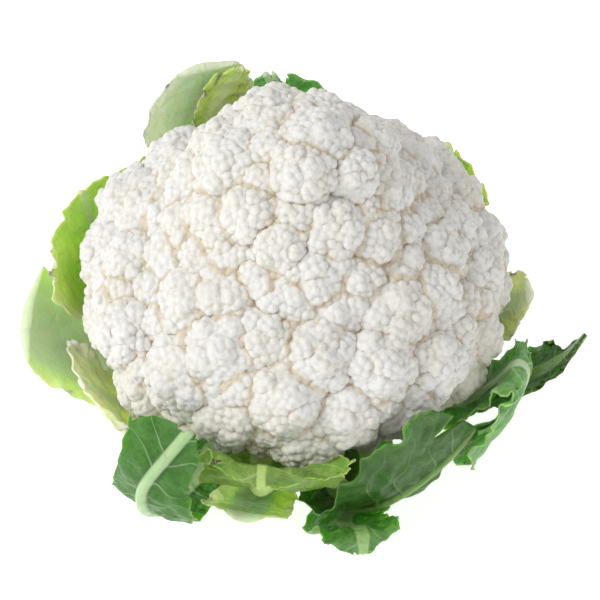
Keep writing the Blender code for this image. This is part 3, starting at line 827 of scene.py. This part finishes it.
stalk_finish = Finish("stalk", Roughness=0.55, Subsurface_Weight=0.2, Subsurface_Scale=0.0015)
place = stalk_finish.add("ShaderNodeTexCoord", output="Object")
inputs = {"Vector": place, "Scale": FIBRE_SHORTENING}
stretch = stalk_finish.add("ShaderNodeMapping", inputs=inputs)
fibres = stalk_finish.noise(FIBRE_SIZE, detail=4.0, place=stretch).steps(0.3, 0.7)
parts = [stalk_finish.part(place, axis) for axis in "XYZ"]
radius = (parts[0] * parts[0] + parts[1] * parts[1]).maths("SQRT")
cut = 1 - parts[2].steps(*CUT_HEIGHTS)
strands = stalk_finish.cells(STRAND_SIZE, place, "F1").steps(0.25, 0.6)
ring = radius.steps(*RING_INSIDE) * (1 - radius.steps(*RING_OUTSIDE))
pith = stalk_finish.mix(strands * 0.5, srgb(226, 224, 198), srgb(206, 206, 168))
pith = stalk_finish.mix(ring * 0.7, pith, srgb(182, 178, 128))
rind = stalk_finish.mix(fibres, srgb(170, 186, 128), srgb(206, 214, 172))
colour = stalk_finish.mix(cut, rind, pith)
relief = fibres * 0.6 + strands * 0.4 * cut
stalk_finish.paint(Base_Color=colour, Normal=stalk_finish.bump(relief, RIND_RELIEF))

stalk = add_piece("stalk_stump", stalk_skin)
stalk.data.materials.append(stalk_finish.material)
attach(stalk, BODY)
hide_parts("stalk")
print("stalk height:", STALK_HEIGHT, "mm")

# %% [markdown]
# The leaves
#
# The leaves follow a shell, a surface of revolution that wraps the stalk and the curd as a sleeve
# would. Each leaf has a route of its midrib along that shell, half widths on both sides, and
# angles by which its margins curl, ruffle and roll. These numbers are the solids' own, so each
# fine leaf fills its solid's place. A folded leaf climbs, turns over, and comes down outside.

# %% The shell
SHELL_OUTLINE = (
    (22.3, 1.0), (24.3, 13.0), (29.5, 20.5), (42.0, 24.3), (56.0, 24.8), (66.5, 26.0), (75.5, 31.5),
    (81.5, 41.5), (85.2, 53.0), (86.3, 66.0), (84.9, 80.0), (80.7, 92.5), (74.2, 102.0),
    (65.5, 109.5), (54.5, 118.0), (42.0, 128.0), (30.0, 138.0),
)
SHELL_STEPS = 240
LEAF_CLEARANCE = 0.7
CLEARANCE_SOFTNESS = 0.4
FOLD_SINE = 0.85


def spline(points, share):
    """Read a smooth curve through the points, at shares from 0 to 1 of its way."""
    points = np.array(points, dtype=float)
    first = 2 * points[0] - points[1]
    last = 2 * points[-1] - points[-2]
    points = np.concatenate(([first], points, [last]))
    place = np.clip(share, 0, 1) * (len(points) - 3)
    index = np.minimum(place.astype(int), len(points) - 4)
    t = (place - index).reshape((-1,) + (1,) * (points.ndim - 1))
    before, here, after, beyond = (points[index + step] for step in range(4))
    bend = 2 * before - 5 * here + 4 * after - beyond
    snap = 3 * here - before - 3 * after + beyond
    return here + 0.5 * ((after - before) * t + bend * t**2 + snap * t**3)


class Shell:
    """The surface of revolution round the curd and the stalk that the leaves are laid on."""

    def __init__(self):
        self.outline = spline(SHELL_OUTLINE, np.linspace(0, 1, SHELL_STEPS))
        steps = np.linalg.norm(np.diff(self.outline, axis=0), axis=1)
        self.climb = np.concatenate(([0], np.cumsum(steps)))
        slope = unit(np.gradient(self.outline, self.climb, axis=0))
        self.outward = np.stack((slope[:, 1], -slope[:, 0]), axis=1)

    def at(self, azimuth, climb):
        """Points of the shell, the way out from it, and how round it is there from side to side."""
        radius, height = (np.interp(climb, self.climb, column) for column in self.outline.T)
        level, rise = unit(
            np.stack([np.interp(climb, self.climb, column) for column in self.outward.T], axis=1)
        ).T
        spoke = np.stack((np.cos(azimuth), np.sin(azimuth)), axis=1)
        points = np.column_stack((spoke * radius[:, None], height))
        outward = np.column_stack((spoke * level[:, None], rise))
        return points, outward, np.maximum(level, 0) / radius

    def keep_clear(self, points, least):
        """Push the points out until they stand off the shell by the least distance or more."""
        radius = np.hypot(points[..., 0], points[..., 1])
        flat = np.stack((radius, points[..., 2]), axis=-1)
        away = flat[..., None, :] - self.outline
        nearest = np.linalg.norm(away, axis=-1).argmin(axis=-1)
        normal = self.outward[nearest]
        away = np.take_along_axis(away, nearest[..., None, None], axis=-2)[..., 0, :]
        short = least - (away * normal).sum(axis=-1)
        lift = 0.5 * (short + np.hypot(short, CLEARANCE_SOFTNESS))
        spoke = points[..., :2] / radius[..., None]
        push = np.concatenate((spoke * normal[..., :1], normal[..., 1:]), axis=-1)
        return points + push * lift[..., None]


def sideways_along(along, outward):
    """The blade's sideways direction in each row, level with the shell, carried over a fold."""
    sideways = np.cross(along, outward)
    sideways[0] = unit(sideways[0])
    for row in range(1, len(along)):
        before = sideways[row - 1]
        if np.linalg.norm(sideways[row]) < FOLD_SINE:
            sideways[row] = before
        elif sideways[row] @ before < 0:
            sideways[row] *= -1
        sideways[row] = unit(sideways[row] - along[row] * (sideways[row] @ along[row]))
    return sideways


shell = Shell()
print("shell:", round(shell.climb[-1]), "mm from foot to top")

# %% [markdown]
# Seventeen leaves stand round the head. The photograph shows fifteen of them, and two more close
# the ring behind. They go round from the left, by way of the back.

# %% The leaves' plans
@dataclass
class Leaf:
    """A leaf, drawn from its base to its tip.

    The route of the midrib is read as azimuth in degrees, climb along the shell and stand-off from
    it. Low and high are the half widths on the sides of lower and higher azimuth, and the curls are
    the angles by which those two margins turn away from the shell. The roll turns the whole blade
    about its midrib, the high side outwards. Ruffle is an angle and a number of waves along the
    margins, and lobes are a share of the width and a number along them. The tip is the share of the
    length by which the leaf is shorter along its margins than along its midrib. Raggedness scales
    the teeth and the frill, and the rim is how far out the finish's pale edge starts.
    """

    slot: str
    tint: str
    route: tuple
    low: tuple
    high: tuple
    rib: tuple = (3.5, 3.5, 3.5, 3, 1.5)
    rib_width: tuple = (5, 6, 5, 4, 3)
    curl: tuple = (0, 0)
    low_curl: tuple = None
    high_curl: tuple = None
    roll: tuple = (0, 0)
    ruffle: tuple = (12, 3)
    lobes: tuple = (0.1, 3)
    tip: float = 0.14
    raggedness: float = 1.0
    rim: float = 0.965


LEAVES = {
    "leaf_left_outer": Leaf(
        slot="pale", tint="glassy",
        route=((180, 5, 0.8), (181, 24, 8), (182, 46, 10), (183, 70, 13), (183, 92, 20)),
        low=(6, 9, 15, 27, 28), high=(6, 9, 16, 28, 30), rib=(4, 5.5, 5, 4.5, 4),
        rib_width=(5, 8, 13, 22, 25), high_curl=(0, 0, 0, 10, 25), ruffle=(6, 2), lobes=(0.04, 3),
        raggedness=0.3, rim=0.7,
    ),
    "leaf_left_front": Leaf(
        slot="light", tint="cream",
        route=((-152, 16, 0.8), (-151, 34, 2), (-151, 58, 2.5), (-152, 78, 3), (-153, 90, 6)),
        low=(6, 9, 18, 26, 27), high=(6, 9, 18, 28, 30), rib=(3.5, 3.5, 3.5, 2.5, 1),
        curl=(0, 0, 0, 0, 20), ruffle=(14, 4), lobes=(0.05, 3), tip=0.05, raggedness=0.6, rim=0.6,
    ),
    "leaf_upper_left": Leaf(
        slot="light", tint="lime",
        route=(
            (151, 16, 0.8), (151, 34, 2), (153, 60, 2.5), (155, 84, 4), (154, 98, 7),
            (153, 107, 9.5),
        ),
        low=(6, 9, 22, 38, 40, 38), high=(6, 9, 24, 42, 44, 40), rib=(3.5, 3.5, 3.5, 3, 2, 1.5),
        rib_width=(5, 6, 5, 4, 3, 3), low_curl=(0, 0, 0, 0, 0, 10), high_curl=(0, 0, 0, 0, 0, 15),
        ruffle=(8, 3), lobes=(0.04, 3), raggedness=0.5, rim=0.75,
    ),
    "leaf_back_left_outer": Leaf(
        slot="pale", tint="pale",
        route=(
            (97, 5, 0.8), (98, 24, 8), (102, 52, 10), (107, 84, 10), (113, 112, 11), (113, 133, 11),
        ),
        low=(6, 9, 15, 22, 26, 18), high=(6, 9, 17, 24, 26, 16), rib=(4, 5, 5, 4.5, 4, 3),
        rib_width=(5, 7, 11, 16, 19, 14), high_curl=(0, 0, 0, 0, 10, 10), ruffle=(8, 2),
        lobes=(0.1, 2.5), raggedness=0.4,
    ),
    "leaf_back_left_inner": Leaf(
        slot="light", tint="lime",
        route=(
            (114, 16, 0.8), (114, 34, 2), (114, 56, 2.5), (114, 90, 3), (111, 118, 4),
            (104, 136, 6),
        ),
        low=(6, 8, 11, 11, 9, 13), high=(6, 8, 11, 11, 9, 13), rib=(3.5, 3.5, 3.5, 3, 3, 1.5),
        rib_width=(5, 6, 5, 4, 4, 2), low_curl=(0, 0, 0, 0, 0, 20), high_curl=(0, 0, 0, 0, 20, 40),
        ruffle=(8, 2), lobes=(0.08, 3),
    ),
    "leaf_back": Leaf(
        slot="dark", tint="bright",
        route=((78, 16, 0.8), (78, 34, 2), (80, 56, 2.5), (89, 96, 3), (97, 132, 4)),
        low=(6, 9, 16, 22, 20), high=(6, 9, 14, 16, 18), curl=(0, 0, 0, 0, 10), ruffle=(16, 4),
        lobes=(0.08, 4),
    ),
    "leaf_back_right": Leaf(
        slot="dark", tint="dark",
        route=((59, 5, 0.8), (60, 24, 9), (61, 48, 10), (64, 74, 9), (68, 98, 9)),
        low=(6, 9, 12, 22, 18), high=(6, 9, 14, 22, 18), rib=(4, 5, 4.5, 3.5, 2),
        rib_width=(5, 7, 6, 5, 3), curl=(0, 0, 0, 0, 20), ruffle=(14, 3), lobes=(0.08, 4),
    ),
    "leaf_right_upper": Leaf(
        slot="light", tint="lime",
        route=((41, 16, 0.8), (41, 34, 2), (41, 60, 2.5), (43, 88, 3), (46, 112, 4)),
        low=(6, 9, 15, 22, 18), high=(6, 9, 14, 20, 18), curl=(0, 0, 0, 0, 10),
    ),
    "leaf_right_back": Leaf(
        slot="dark", tint="dark",
        route=((23, 5, 0.8), (23, 24, 9), (23, 44, 11), (23, 62, 11), (22, 80, 12)),
        low=(6, 9, 12, 20, 16), high=(6, 9, 12, 20, 16), rib=(4, 5, 4.5, 3.5, 2),
        rib_width=(5, 7, 6, 5, 3), curl=(0, 0, 0, 0, 20), ruffle=(14, 3), lobes=(0.08, 4),
    ),
    "leaf_right": Leaf(
        slot="pale", tint="straw",
        route=((5, 16, 0.8), (5, 34, 2), (5, 56, 2.5), (3, 78, 4), (0, 96, 6)),
        low=(6, 8, 12, 14, 11), high=(6, 9, 14, 16, 13), rib=(3.5, 3.5, 3.5, 3, 2.5),
        rib_width=(5, 6, 6, 6, 6), low_curl=(0, 0, 0, 0, 20), ruffle=(8, 2), raggedness=0.6,
    ),
    "leaf_right_front": Leaf(
        slot="light", tint="bright",
        route=(
            (-29, 16, 0.8), (-28, 34, 2), (-27, 58, 2.5), (-25, 84, 3), (-24, 96, 6),
            (-24, 94, 12.5), (-27, 76, 16.5), (-31, 59, 20),
        ),
        low=(6, 9, 16, 18, 19, 26, 28, 18), high=(6, 9, 16, 16, 13, 11, 8, 6),
        rib=(3.5, 3.5, 3.5, 2.5, 1, 0.5, 0.5, 0.5), rib_width=(5, 6, 5, 4, 3, 2, 2, 2),
        lobes=(0.08, 3), tip=0.06,
    ),
    "leaf_far_right": Leaf(
        slot="dark", tint="deep",
        route=(
            (-14, 5, 0.8), (-14, 24, 9), (-13, 46, 12), (-13, 68, 16), (-11, 84, 24), (-6, 91, 31),
        ),
        low=(6, 9, 12, 14, 10, 2), high=(6, 9, 12, 16, 14, 2), rib=(4, 5, 4.5, 3.5, 2.5, 1),
        rib_width=(5, 7, 6, 5, 4, 1), low_curl=(0, 0, 0, -20, -10, 0), lobes=(0.12, 4),
    ),
    "leaf_front_right": Leaf(
        slot="dark", tint="deep",
        route=(
            (-66, 5, 0.8), (-67, 26, 9), (-72, 44, 11), (-77, 58, 12), (-70, 70, 12.5),
            (-57, 79, 10), (-42, 88, 7),
        ),
        low=(4, 6.5, 9, 13, 22.5, 35, 27), high=(4, 6.5, 9, 10, 9, 8, 7),
        rib=(4, 4.5, 4.5, 3.5, 2.5, 2, 1), rib_width=(3.5, 6, 5, 3.5, 2.5, 2, 1.5),
        roll=(0, 0, 0, 5, 15, 20, 20), ruffle=(12, 4), lobes=(0.08, 5), tip=0.06,
    ),
    "leaf_front_tip": Leaf(
        slot="dark", tint="dark",
        route=(
            (-43, 5, 0.8), (-45, 27, 10), (-62, 50, 18), (-76, 64, 19), (-76, 76, 19),
            (-76, 82, 24), (-76, 76, 30),
        ),
        low=(4, 6.5, 12, 15, 15, 14, 10), high=(4, 7, 13, 15, 15, 14, 8),
        rib=(4, 4.5, 4, 3, 2, 1, 0.5), rib_width=(3.5, 6, 5, 4, 3, 3, 2), lobes=(0.04, 3),
        raggedness=0.4,
    ),
    "leaf_front": Leaf(
        slot="light", tint="yellow",
        route=(
            (-106, 16, 0.8), (-105, 34, 2), (-101, 58, 2.5), (-97, 87, 2.5), (-97, 100, 3.5),
            (-97, 104, 8), (-97, 97, 11.5),
        ),
        low=(6, 9, 18, 24, 22, 19, 17), high=(6, 9, 18, 28, 30, 27, 24),
        rib=(3.5, 3.5, 3.5, 2.5, 1, 0.5, 0.5), rib_width=(5, 6, 5, 4, 2.5, 2, 2), ruffle=(14, 4),
        lobes=(0.1, 4), raggedness=0.7,
    ),
    "leaf_front_outer": Leaf(
        slot="pale", tint="glassy",
        route=((-90, 5, 0.8), (-94, 26, 9), (-100, 46, 11), (-102, 62, 12), (-102, 74, 13)),
        low=(4, 8, 11, 16, 17), high=(4, 7.5, 9.5, 16, 20), rib=(4, 4.5, 4.5, 4, 3),
        rib_width=(3.5, 6, 7, 8, 8), curl=(0, 0, 0, 0, 10), ruffle=(16, 3), raggedness=0.5,
    ),
    "leaf_front_left": Leaf(
        slot="light", tint="mid",
        route=(
            (-127, 5, 0.8), (-127, 26, 9), (-125, 50, 15.5), (-123, 74, 22), (-120.5, 94, 21),
            (-116.5, 106, 12), (-113.5, 114, 6),
        ),
        low=(6, 9, 13, 14, 14, 17.5, 18), high=(6, 9, 12, 17, 18, 12, 8),
        rib=(4, 5, 4.5, 3.5, 3, 2.5, 1.5), rib_width=(5, 7, 5, 3.5, 2.5, 2.5, 2.5), ruffle=(8, 3),
        raggedness=0.6,
    ),
}
print("leaves:", len(LEAVES))

# %% [markdown]
# From plan to blade
#
# Nothing on a leaf is straight. Its teeth and frills are sums of a few waves of odd numbers, and
# its puckers are ripples that run in all directions.

# %% Waves and ripples
BARE_SHARE = 0.12
SPREADING_SHARE = 0.25


def waves(share, terms, rng):
    """A sum of sine waves along a share from 0 to 1, each with its number and its height."""
    total = np.zeros_like(share)
    for number, height in terms:
        number *= rng.uniform(0.85, 1.15)
        total += height * np.sin(math.tau * (number * share + rng.random()))
    return total


def ripples(along, across, size, rng, count=7):
    """Smooth hills and hollows of about this size, between about -1 and 1."""
    total = np.zeros(np.broadcast(along, across).shape)
    for ripple in range(count):
        turn = rng.uniform(0, math.tau)
        pitch = size * rng.uniform(0.7, 1.5)
        way = along * math.cos(turn) + across * math.sin(turn)
        total += np.sin(math.tau * (way / pitch + rng.random()))
    return total / math.sqrt(count)


def spread(share):
    """How far the blade has spread: nothing at the leaf's base, all of it from a third upwards."""
    return np.clip((share - BARE_SHARE) / SPREADING_SHARE, 0, 1)


def margin_waves(along_share, side, terms, rng):
    """Waves along both margins, not the same ones, which grow as the blade spreads."""
    low, high = (waves(along_share, terms, rng)[:, None] for margin in "lh")
    return np.where(side < 0, low, high) * spread(along_share)[:, None]


print("the blade has spread by", spread(np.array([0.1, 0.2, 0.4])).round(2), "at 0.1, 0.2 and 0.4")

# %% [markdown]
# A leaf is a grid of points. First it lies flat: each row reaches from the midrib to both margins,
# which are lobed and toothed.

# %% The flat blade
RIB_COLUMNS = 0.16
LOBE_LAG = 2.0
LEAST_BLADE_WIDTH = 0.5
TEETH = 0.08
TOOTH_DEPTH = 6
TOOTH_WAVES = ((11, 0.5), (19, 0.3), (37, 0.2))


def on_both_sides(low, high, along_share, side):
    """Values along the leaf for the side of lower azimuth, and others for the higher side."""
    low, high = (spline(values, along_share)[:, None] for values in (low, high))
    return np.where(side < 0, low, high)


def flat_blade(leaf, along_share, across, rng):
    """The half widths, how far each point lies from the midrib, and the midrib's half widths."""
    side = np.sign(across)
    rib_width = spline(leaf.rib_width, along_share)[:, None]
    width = on_both_sides(leaf.low, leaf.high, along_share, side)
    depth, number = leaf.lobes
    wave = math.tau * number * along_share[:, None]
    width = width * (1 + depth * np.sin(wave + LOBE_LAG * side))
    width = np.maximum(width, rib_width + LEAST_BLADE_WIDTH)
    blade_share = np.maximum(abs(across) - RIB_COLUMNS, 0) / (1 - RIB_COLUMNS)
    reach = rib_width * np.minimum(abs(across) / RIB_COLUMNS, 1)
    reach = reach + (width - rib_width) * blade_share
    teeth = TEETH * leaf.raggedness * margin_waves(along_share, side, TOOTH_WAVES, rng)
    reach += width * teeth * blade_share**TOOTH_DEPTH
    return width, reach, rib_width


print("columns on the midrib:", RIB_COLUMNS, "of the width")

# %% [markdown]
# Then it is bent into place row by row. The margins curl and wave more the nearer the edge, so the
# angle is added up on the way out from the midrib. A cloth simulation would give fine folds, but
# not where this leaf has them.

# %% The bent blade
CURL_POWER = 2.0
CURL_STEPS = 16
RUFFLE_LAG = 1.0
GRAFT_DEPTH = 3.0
GRAFT_SHARE = 0.08
FRILL = math.radians(26)
FRILL_WAVES = ((7, 0.45), (13, 0.35), (23, 0.2))


def tilt_of(leaf, along_share, side, reach, width, wrap, rng):
    """By which angle the blade is tilted, at steps of the way from the midrib to each point."""
    low_curl, high_curl = leaf.low_curl or leaf.curl, leaf.high_curl or leaf.curl
    curl = on_both_sides(low_curl, high_curl, along_share, side)
    roll = spline(leaf.roll, along_share)[:, None]
    angle, number = leaf.ruffle
    wave = math.tau * number * along_share[:, None]
    ruffle = np.radians(angle) * np.sin(wave + RUFFLE_LAG * side)
    frill = FRILL * leaf.raggedness * margin_waves(along_share, side, FRILL_WAVES, rng)
    way = reach[..., None] * (np.arange(CURL_STEPS) + 0.5) / CURL_STEPS
    margin = (way / width[..., None]) ** CURL_POWER
    tilt = (np.radians(curl) + ruffle)[..., None] * margin - wrap * way
    tilt += frill[..., None] * margin**2
    return tilt + np.radians(roll * side)[..., None]


def bent_blade(shell, leaf, along_share, side, reach, width, rng):
    """The blade's inner face in its place round the head, and the length along the midrib."""
    route = spline(leaf.route, along_share)
    points, outward, roundness = shell.at(np.radians(route[:, 0]), route[:, 1])
    grafted = GRAFT_DEPTH * np.clip(1 - along_share[:, None] / GRAFT_SHARE, 0, 1)
    middle = points + outward * (route[:, 2:] - grafted)
    along = unit(np.gradient(middle, axis=0))
    sideways = sideways_along(along, outward)
    facing = np.cross(sideways, along)
    length = np.cumsum(np.linalg.norm(np.diff(middle, axis=0, prepend=middle[:1]), axis=1))
    wrap = (roundness * (facing * outward).sum(axis=1))[:, None, None]
    tilt = tilt_of(leaf, along_share, side, reach, width, wrap, rng)
    sideways_run = side * reach * np.cos(tilt).mean(axis=-1)
    outward_run = reach * np.sin(tilt).mean(axis=-1)
    surface = (
        middle[:, None, :]
        + sideways[:, None, :] * sideways_run[..., None]
        + facing[:, None, :] * outward_run[..., None]
    )
    clear = shell.keep_clear(surface, LEAF_CLEARANCE)
    return np.where(grafted[..., None] > 0, surface, clear), length


print("steps from the midrib to each point:", CURL_STEPS)

# %% [markdown]
# Last, it gets its thickness. The midrib swells the outer face. Side veins leave it at a slant,
# alternately left and right, and the blade between them is puckered, because it grew faster than
# they did.
#
# The grid also stores what the finish needs: a place on the flat leaf, in metres, and how much of
# each point is rib, vein, margin and outer face.

# %% Blades
LEAF_ROWS = 150
LEAF_COLUMNS = 61
BLADE = 0.9
EDGE = 0.55
VEIN_SPACING = 12.0
VEIN_SLANT = math.radians(52)
VEIN_WIDTH = 1.7
VEIN_HEIGHT = 0.5
VEIN_BEND = 0.25
VEIN_FADE = 0.75
VEIN_WOBBLE = 0.22
WOBBLE_SIZE = 22.0
PUCKER = 1.1
PUCKER_SIZE = 8.0
PUCKER_BETWEEN_VEINS = 0.6
PUCKER_AT_RANDOM = 0.5
RIB_FLANK = 0.8
TIP_WAVES = ((3, 0.5), (6, 0.3), (11, 0.2))
TIP_RAGGEDNESS = 0.08
TIP_DEPTH = 8


def leaf_grids(shell, leaf, rng, rows, columns):
    """The inner and the outer face of a leaf as grids of points, and the fields at the points."""
    along_share = np.linspace(0, 1, rows)
    across = np.linspace(-1, 1, columns)
    side = np.sign(across)
    width, reach, rib_width = flat_blade(leaf, along_share, across, rng)
    surface, length = bent_blade(shell, leaf, along_share, side, reach, width, rng)

    flat_across = side * reach
    flat_along = np.broadcast_to(length[:, None], reach.shape)
    grown = spread(along_share)[:, None]
    rib = np.clip(1 - (reach / rib_width) ** 2, 0, 1)
    wobble = VEIN_WOBBLE * ripples(flat_along, flat_across, WOBBLE_SIZE, rng)
    slanted = flat_along - reach / math.tan(VEIN_SLANT) * (1 - VEIN_BEND * reach / width)
    phase = slanted / VEIN_SPACING + 0.5 * (flat_across > 0) + wobble
    gap = abs(phase - np.round(phase)) * VEIN_SPACING * math.sin(VEIN_SLANT)
    fade = 1 - VEIN_FADE * reach / width
    vein = np.exp(-((gap / (VEIN_WIDTH * fade)) ** 2)) * fade * (1 - rib)
    between = 0.5 - 0.5 * np.cos(math.tau * phase)
    blade = np.clip((reach / rib_width - RIB_FLANK) / RIB_FLANK, 0, 1)
    hills = PUCKER_AT_RANDOM * ripples(flat_along, flat_across, PUCKER_SIZE, rng)
    pucker = blade * PUCKER * (PUCKER_BETWEEN_VEINS * between + hills) * grown
    thickness = EDGE + (BLADE - EDGE) * (1 - (reach / width) ** 4)
    rib_height = spline(leaf.rib, along_share)[:, None]
    thickness = thickness + rib_height * rib + VEIN_HEIGHT * vein * grown

    across_grid = np.broadcast_to(across, reach.shape)
    fields = np.stack((flat_along, flat_across, rib, phase, abs(across_grid)), axis=-1)
    grids = [surface, thickness[..., None], pucker[..., None], fields]
    ragged = TIP_RAGGEDNESS * leaf.raggedness * waves(np.linspace(0, 1, columns), TIP_WAVES, rng)
    for column, shortfall in enumerate(np.maximum(ragged, 0)):
        taken = along_share * leaf.tip * across[column] ** 2 + along_share**TIP_DEPTH * shortfall
        for grid in grids:
            grid[:, column] = spline(grid[:, column], along_share - taken)
    surface, thickness, pucker, fields = grids
    across_way = np.gradient(surface, axis=1)
    along_way = np.gradient(surface, axis=0)
    normal = unit(np.cross(across_way, along_way))
    inner = surface + normal * pucker
    return inner, inner + normal * thickness, fields


def leaf_mesh(name, inner, outer, fields):
    """A closed skin from the two faces of a leaf."""
    rows, columns = inner.shape[:2]
    number = np.arange(rows * columns).reshape(rows, columns)
    corners = (number[:-1, :-1], number[:-1, 1:], number[1:, 1:], number[1:, :-1])
    quads = np.stack([corner.ravel() for corner in corners], axis=1)
    rim = np.concatenate((number[0, :-1], number[:-1, -1], number[-1, :0:-1], number[:0:-1, 0]))
    following = np.roll(rim, -1)
    count = rows * columns
    edge = np.stack((rim, following, following + count, rim + count), axis=1)
    faces = np.concatenate((quads[:, ::-1], quads + count, edge))
    points = np.concatenate((inner.reshape(-1, 3), outer.reshape(-1, 3)))
    flat = np.tile(fields.reshape(count, -1), (2, 1))
    face = np.repeat((0.0, 1.0), count)
    place = np.column_stack((flat[:, :2] * MILLIMETRE, np.zeros(2 * count)))
    values = {"place": place, "rib": flat[:, 2], "phase": flat[:, 3], "margin": flat[:, 4]}
    return make_mesh(name, points, faces, {**values, "outer_face": face})


print("points on a leaf:", 2 * LEAF_ROWS * LEAF_COLUMNS)

# %% [markdown]
# A leaf's green is deep on the blade and pale on its veins, its rib and its underside. Each leaf
# here has its own, because some are young and lime, some old and dark, and some are thick
# pieces of rib with hardly any blade. The pale and lime blades are also painted lighter, for
# light that shines through them. Small veins join into a net that shows as paler lines and a
# fine relief. The wax on the leaf is a soft gloss.

# %% Leaf finish
NET_SIZE = 0.0028
PATCH_SIZE = 0.018
BLISTER_SIZE = 0.007
MOTTLE_SIZE = 0.003
VEIN_EDGES = (0.02, 0.07)
LEAF_RELIEF = 0.0003


def leaf_finish(name, rim, blade, rib, back, edge, shade=0.6):
    """A leaf's material from the colours of its blade, rib, outer face and edge."""
    blade, rib, back, edge = (srgb(*colour) for colour in (blade, rib, back, edge))
    deep = (*(shade * value for value in blade[:3]), 1.0)
    finish = Finish(
        name,
        Subsurface_Weight=0.8,
        Subsurface_Radius=(0.6, 1.0, 0.25),
        Subsurface_Scale=0.004,
        Specular_IOR_Level=0.4,
    )
    place = finish.attribute("place", "Vector")
    phase = finish.attribute("phase")
    ribs = finish.attribute("rib")
    margin = finish.attribute("margin")
    outer = finish.attribute("outer_face")
    gap = phase.maths("PINGPONG", 0.5)
    veins = (1 - (gap / (1 - margin * VEIN_FADE)).steps(*VEIN_EDGES)) * (1 - margin * 0.6)
    net = (1 - finish.cells(NET_SIZE, place).steps(0.0, 0.12)) * (1 - ribs.steps(0.0, 0.2))
    patches = finish.noise(PATCH_SIZE, place=place).steps(0.3, 0.7)
    mottle = finish.noise(MOTTLE_SIZE, place=place, detail=4.0).steps(0.35, 0.7)
    blisters = finish.noise(BLISTER_SIZE, place=place, detail=2.0).steps(0.25, 0.75)
    colour = finish.mix(patches * 0.4 + blisters * 0.3 + gap * 0.5, blade, deep)
    for share, over in (
        (mottle * 0.2, rib),
        (net * 0.15, rib),
        (outer * 0.75, back),
        (veins * 0.6, rib),
        (ribs.steps(0.05, 0.6), rib),
        (margin.steps(rim, 1.0) * 0.7, edge),
    ):
        colour = finish.mix(share, colour, over)
    relief = net * 0.25 + veins * 0.8 + mottle * 0.3 + blisters * 3.0
    finish.paint(
        Base_Color=colour,
        Normal=finish.bump(relief, LEAF_RELIEF),
        Roughness=0.36 + mottle * 0.16,
    )
    return finish.material


print("finish of a leaf: a net of", NET_SIZE / MILLIMETRE, "mm on its blade")

# %% [markdown]
# The glassy, pale and straw leaves are thick ribs with little blade, the lime and cream ones are
# young, and the deep ones are the oldest. The blades of the glassy, pale, straw, lime and cream
# ones are also painted lighter, for light that shines through them. Shade is how far a blade
# darkens in its deeper patches.

# %% Leaves
# The glassy, pale, straw, cream and lime blades are partly their own colour, partly painted light
# shining through.
TINTS = {
    "glassy": dict(
        blade=(220, 242, 178), rib=(222, 235, 198), back=(172, 203, 132), edge=(216, 230, 190),
        shade=0.88,
    ),
    "pale": dict(
        blade=(240, 250, 234), rib=(230, 241, 212), back=(168, 201, 128), edge=(222, 236, 200),
        shade=0.88,
    ),
    "straw": dict(
        blade=(244, 248, 204), rib=(238, 244, 216), back=(184, 208, 136), edge=(232, 240, 206),
        shade=0.88,
    ),
    "cream": dict(
        blade=(244, 248, 204), rib=(238, 244, 216), back=(236, 244, 202), edge=(232, 240, 206),
        shade=0.88,
    ),
    "lime": dict(
        blade=(204, 232, 118), rib=(220, 234, 172), back=(198, 222, 144), edge=(226, 238, 186),
        shade=0.75,
    ),
    "yellow": dict(
        blade=(112, 148, 48), rib=(176, 198, 116), back=(122, 156, 62), edge=(186, 204, 120),
    ),
    "bright": dict(
        blade=(104, 170, 78), rib=(198, 220, 180), back=(118, 176, 92), edge=(168, 202, 124),
    ),
    "mid": dict(
        blade=(50, 98, 20), rib=(178, 204, 156), back=(70, 120, 40), edge=(122, 166, 78),
    ),
    "dark": dict(
        blade=(76, 128, 46), rib=(150, 184, 116), back=(92, 140, 62), edge=(120, 162, 80),
    ),
    "deep": dict(
        blade=(38, 78, 16), rib=(128, 166, 92), back=(66, 110, 40), edge=(98, 142, 60),
    ),
}
LEAF_SEED = 11

leaf_rng = random.Random(LEAF_SEED)
for name, leaf in LEAVES.items():
    grids = leaf_grids(shell, leaf, leaf_rng, LEAF_ROWS, LEAF_COLUMNS)
    piece = add_piece(name + "_blade", leaf_mesh(name + "_blade", *grids))
    piece.data.materials.append(leaf_finish(name, leaf.rim, **TINTS[leaf.tint]))
    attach(piece, BODY)
    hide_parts(name)
print("leaf triangles:", 2 * len(piece.data.polygons) * len(LEAVES))
